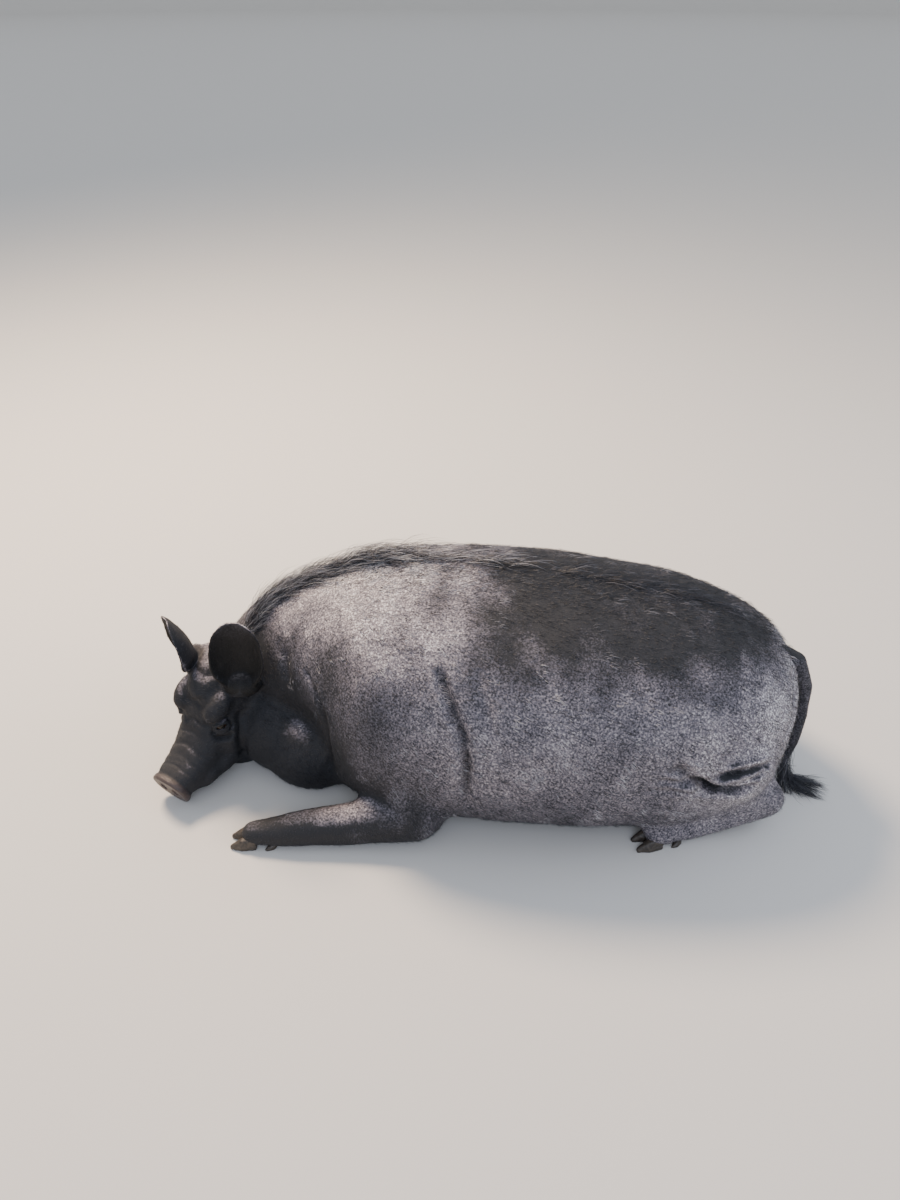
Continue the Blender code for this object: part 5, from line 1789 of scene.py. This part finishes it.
def horn_material(colours):
    """Claw horn: dull keratin with growth rings and dry, scratched tips."""
    material, tree = new_material("worn_claw_horn")
    place = add_node(tree, "ShaderNodeTexCoord")
    rings = add_node(
        tree,
        "ShaderNodeTexWave",
        {"bands_direction": "Z"},
        {"Vector": place.outputs["Object"], "Scale": 1 / 0.004 / 6.28, "Distortion": 3.0},
    )
    scratches = add_node(
        tree,
        "ShaderNodeTexNoise",
        links={"Vector": place.outputs["Object"], "Scale": 1 / 0.004, "Detail": 6.0},
    )
    ramp = add_node(tree, "ShaderNodeValToRGB", links={"Fac": scratches.outputs["Fac"]})
    set_ramp(ramp, ((0.3, colours.horn_dark), (0.7, colours.horn)))
    bump = add_node(
        tree,
        "ShaderNodeBump",
        links={"Height": rings.outputs["Fac"], "Strength": 0.4, "Distance": 0.0006},
    )
    shader = add_node(
        tree,
        "ShaderNodeBsdfPrincipled",
        links={
            "Base Color": ramp.outputs["Color"],
            "Roughness": 0.48,
            "IOR": 1.54,
            "Normal": bump.outputs["Normal"],
        },
    )
    close_material(tree, shader)
    return material


def finish_claws(material):
    """Rounds the solids' claws as wear does and gives them their horn."""
    for name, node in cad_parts.items():
        if "claw" in name:
            add_modifier(
                node, "fine_grid", "REMESH", mode="VOXEL", voxel_size=CLAW_VOXEL, use_smooth_shade=True
            )
            add_modifier(node, "wear", "SMOOTH", iterations=CLAW_WEAR)
            node.data.materials.clear()
            node.data.materials.append(material)


def floor_material():
    """Matt studio paint, pale and even."""
    material, tree = new_material("matt_studio_paint")
    shader = add_node(
        tree,
        "ShaderNodeBsdfPrincipled",
        links={"Base Color": (*linear(FLOOR_COLOUR), 1), "Roughness": 0.85},
    )
    close_material(tree, shader)
    return material


def make_stage():
    """A floor whose edge sweeps up all round, so that every view ends in the same pale paint."""
    rings = [(radius, 0.0) for radius in (0.5, 2.0, 6.0, STAGE_RADIUS)]
    for turn in np.linspace(0, math.pi / 2, STAGE_CURVE_STEPS + 1)[1:]:
        radius = STAGE_RADIUS + math.sin(turn) * STAGE_CURVE
        rings.append((radius, (1 - math.cos(turn)) * STAGE_CURVE))
    rings.append((STAGE_RADIUS + STAGE_CURVE, STAGE_TOP))
    shape = bmesh.new()
    middle = shape.verts.new((0, 0, 0))
    loops = []
    for radius, height in rings:
        loop = []
        for side in range(STAGE_SIDES):
            turn = 2 * math.pi * side / STAGE_SIDES
            point = (math.cos(turn) * radius, math.sin(turn) * radius, height)
            loop.append(shape.verts.new(point))
        loops.append(loop)
    for side in range(STAGE_SIDES):
        after = (side + 1) % STAGE_SIDES
        shape.faces.new((middle, loops[0][side], loops[0][after]))
        for one, other in zip(loops, loops[1:]):
            shape.faces.new((one[side], other[side], other[after], one[after]))
    mesh = bpy.data.meshes.new("studio_floor")
    shape.to_mesh(mesh)
    shape.free()
    floor = link("studio_floor", mesh)
    mesh.shade_smooth()
    mesh.materials.append(floor_material())


def make_lamps():
    for lamp in LAMPS:
        data = bpy.data.lights.new(lamp.name, "AREA")
        data.shape = "DISK"
        data.size = lamp.size
        data.energy = lamp.watts
        data.color = linear(lamp.colour)
        made = link(lamp.name, data)
        made.location = lamp.at
        made.rotation_euler = (AIM - Vector(lamp.at)).to_track_quat("-Z", "Y").to_euler()
    world = bpy.data.worlds.new("studio_air")
    world.use_nodes = True
    background = world.node_tree.nodes["Background"]
    background.inputs["Color"].default_value = (*linear(AIR_COLOUR), 1)
    background.inputs["Strength"].default_value = 1.0
    bpy.context.scene.world = world


def make_camera():
    """Stands where the photo was taken from, with the photo's whole frame."""
    data = bpy.data.cameras.new("camera")
    data.sensor_width = SENSOR
    data.lens = SENSOR * PHOTO_FOCAL / PHOTO_HEIGHT
    data.clip_start = 0.05
    data.clip_end = 60
    made = link("camera", data)
    made.location = placed(*CAMERA_AT)
    made.rotation_euler = (math.radians(90 - CAMERA_PITCH), 0, math.radians(CAMERA_YAW))
    bpy.context.scene.camera = made


class PigSizes(bpy.types.PropertyGroup):
    coat_depth: bpy.props.FloatProperty(
        name="Coat depth",
        description="How far the skin lies inside the solids, where the coat has its full length",
        default=0.0028,
        unit="LENGTH",
    )
    coat_length: bpy.props.FloatProperty(
        name="Bristle length",
        description="Length of the bristles on the flanks",
        default=0.0135,
        unit="LENGTH",
    )
    mane_length: bpy.props.FloatProperty(
        name="Mane length",
        description="Length of the longest bristles of the mane",
        default=max(MANE_LENGTHS),
        unit="LENGTH",
    )


class PigColours(bpy.types.PropertyGroup):
    hide: bpy.props.StringProperty(
        name="Hide", description="The skin's common colour, as sRGB hex", default="#625e66"
    )
    # The dark end of the hide: the back's and face's own dark, deepened by painted shadow and shade.
    hide_dark: bpy.props.StringProperty(
        name="Dark hide", description="The skin of back and face, as sRGB hex", default="#1b1d22"
    )
    hide_light: bpy.props.StringProperty(
        name="Light hide", description="The palest skin of the flanks, as sRGB hex", default="#978f92"
    )
    snout: bpy.props.StringProperty(
        name="Snout", description="The bare skin of the snout's plate, as sRGB hex", default="#3f3635"
    )
    bristle_black: bpy.props.StringProperty(
        name="Black bristles", description="The darkest bristles, as sRGB hex", default="#121418"
    )
    bristle_dark: bpy.props.StringProperty(
        name="Dark bristles", description="The dark grey bristles, as sRGB hex", default="#3c3e46"
    )
    bristle_grey: bpy.props.StringProperty(
        name="Grey bristles", description="The middle grey bristles, as sRGB hex", default="#95949a"
    )
    bristle_pale: bpy.props.StringProperty(
        name="Pale bristles", description="The palest bristles, as sRGB hex", default="#e2e0e0"
    )
    iris: bpy.props.StringProperty(
        name="Iris", description="The iris, as sRGB hex", default="#3a2416"
    )
    horn: bpy.props.StringProperty(
        name="Horn", description="The claws' horn, as sRGB hex", default="#4a4239"
    )
    horn_dark: bpy.props.StringProperty(
        name="Dark horn", description="Stains in the claws' horn, as sRGB hex", default="#221d1a"
    )


class PIG_OT_skin(bpy.types.Operator):
    """Grow the skin from snout to tail and take the solids of flesh out of sight"""

    bl_idname = "pig.skin"
    bl_label = "Skin"

    def execute(self, context):
        skin = grow_skin(context.scene.pig_sizes.coat_depth)
        label_regions(skin)
        mark_skin(skin)
        skin.data.materials.clear()
        skin.data.materials.append(hide_material(context.scene.pig_colours))
        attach(skin, "root")
        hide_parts(*FLESH_NODES)
        return {"FINISHED"}


class PIG_OT_coat(bpy.types.Operator):
    """Grow the short bristles, the mane and the tail's switch on the skin"""

    bl_idname = "pig.coat"
    bl_label = "Bristles and mane"

    def execute(self, context):
        skin = bpy.data.objects["skin"]
        guide = unwrap_guide(skin)
        sizes, colours = context.scene.pig_sizes, context.scene.pig_colours
        short = bristle_material("grey_pig_bristle", coat_stops(colours), 0.45)
        long = bristle_material("black_mane_bristle", coat_stops(colours), 0.38)
        pieces = grow_coat(skin, guide, short, sizes)
        pieces.append(grow_mane(skin, guide, long, sizes))
        pieces.append(grow_switch(guide, long))
        bpy.data.objects.remove(guide)
        for piece in pieces:
            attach(piece, "root")
        return {"FINISHED"}


class PIG_OT_eyes(bpy.types.Operator):
    """Put a wet eyeball with its iris between the lids of each eye"""

    bl_idname = "pig.eyes"
    bl_label = "Eyes"

    def execute(self, context):
        material = eye_material(context.scene.pig_colours)
        for side, node in ((1, "eye_left"), (-1, "eye_right")):
            eye = make_eye(side)
            eye.data.materials.append(material)
            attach(eye, "root")
            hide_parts(node)
        return {"FINISHED"}


class PIG_OT_claws(bpy.types.Operator):
    """Round the claws and give them their horn"""

    bl_idname = "pig.claws"
    bl_label = "Claws"

    def execute(self, context):
        finish_claws(horn_material(context.scene.pig_colours))
        return {"FINISHED"}


class PIG_OT_stage(bpy.types.Operator):
    """Lay the floor and set the lamps and the camera"""

    bl_idname = "pig.stage"
    bl_label = "Floor, lamps and camera"

    def execute(self, context):
        make_stage()
        make_lamps()
        make_camera()
        return {"FINISHED"}


OPERATORS = (PIG_OT_skin, PIG_OT_coat, PIG_OT_eyes, PIG_OT_claws, PIG_OT_stage)


class PIG_PT_panel(bpy.types.Panel):
    """Lists the steps that dress the pig"""

    bl_idname = "PIG_PT_panel"
    bl_label = "Pot-bellied pig"
    bl_space_type = "VIEW_3D"
    bl_region_type = "UI"
    bl_category = "Pig"

    def draw(self, context):
        for group in (context.scene.pig_sizes, context.scene.pig_colours):
            for key in group.__annotations__:
                self.layout.prop(group, key)
        for operator in OPERATORS:
            self.layout.operator(operator.bl_idname)


CLASSES = (PigSizes, PigColours, *OPERATORS, PIG_PT_panel)


def register():
    for made in CLASSES:
        bpy.utils.register_class(made)
    bpy.types.Scene.pig_sizes = bpy.props.PointerProperty(type=PigSizes)
    bpy.types.Scene.pig_colours = bpy.props.PointerProperty(type=PigColours)


def unregister():
    del bpy.types.Scene.pig_colours
    del bpy.types.Scene.pig_sizes
    for made in reversed(CLASSES):
        bpy.utils.unregister_class(made)


def main():
    register()
    bpy.ops.pig.skin()
    bpy.ops.pig.coat()
    bpy.ops.pig.eyes()
    bpy.ops.pig.claws()
    bpy.ops.pig.stage()


if __name__ == "__main__":
    main()
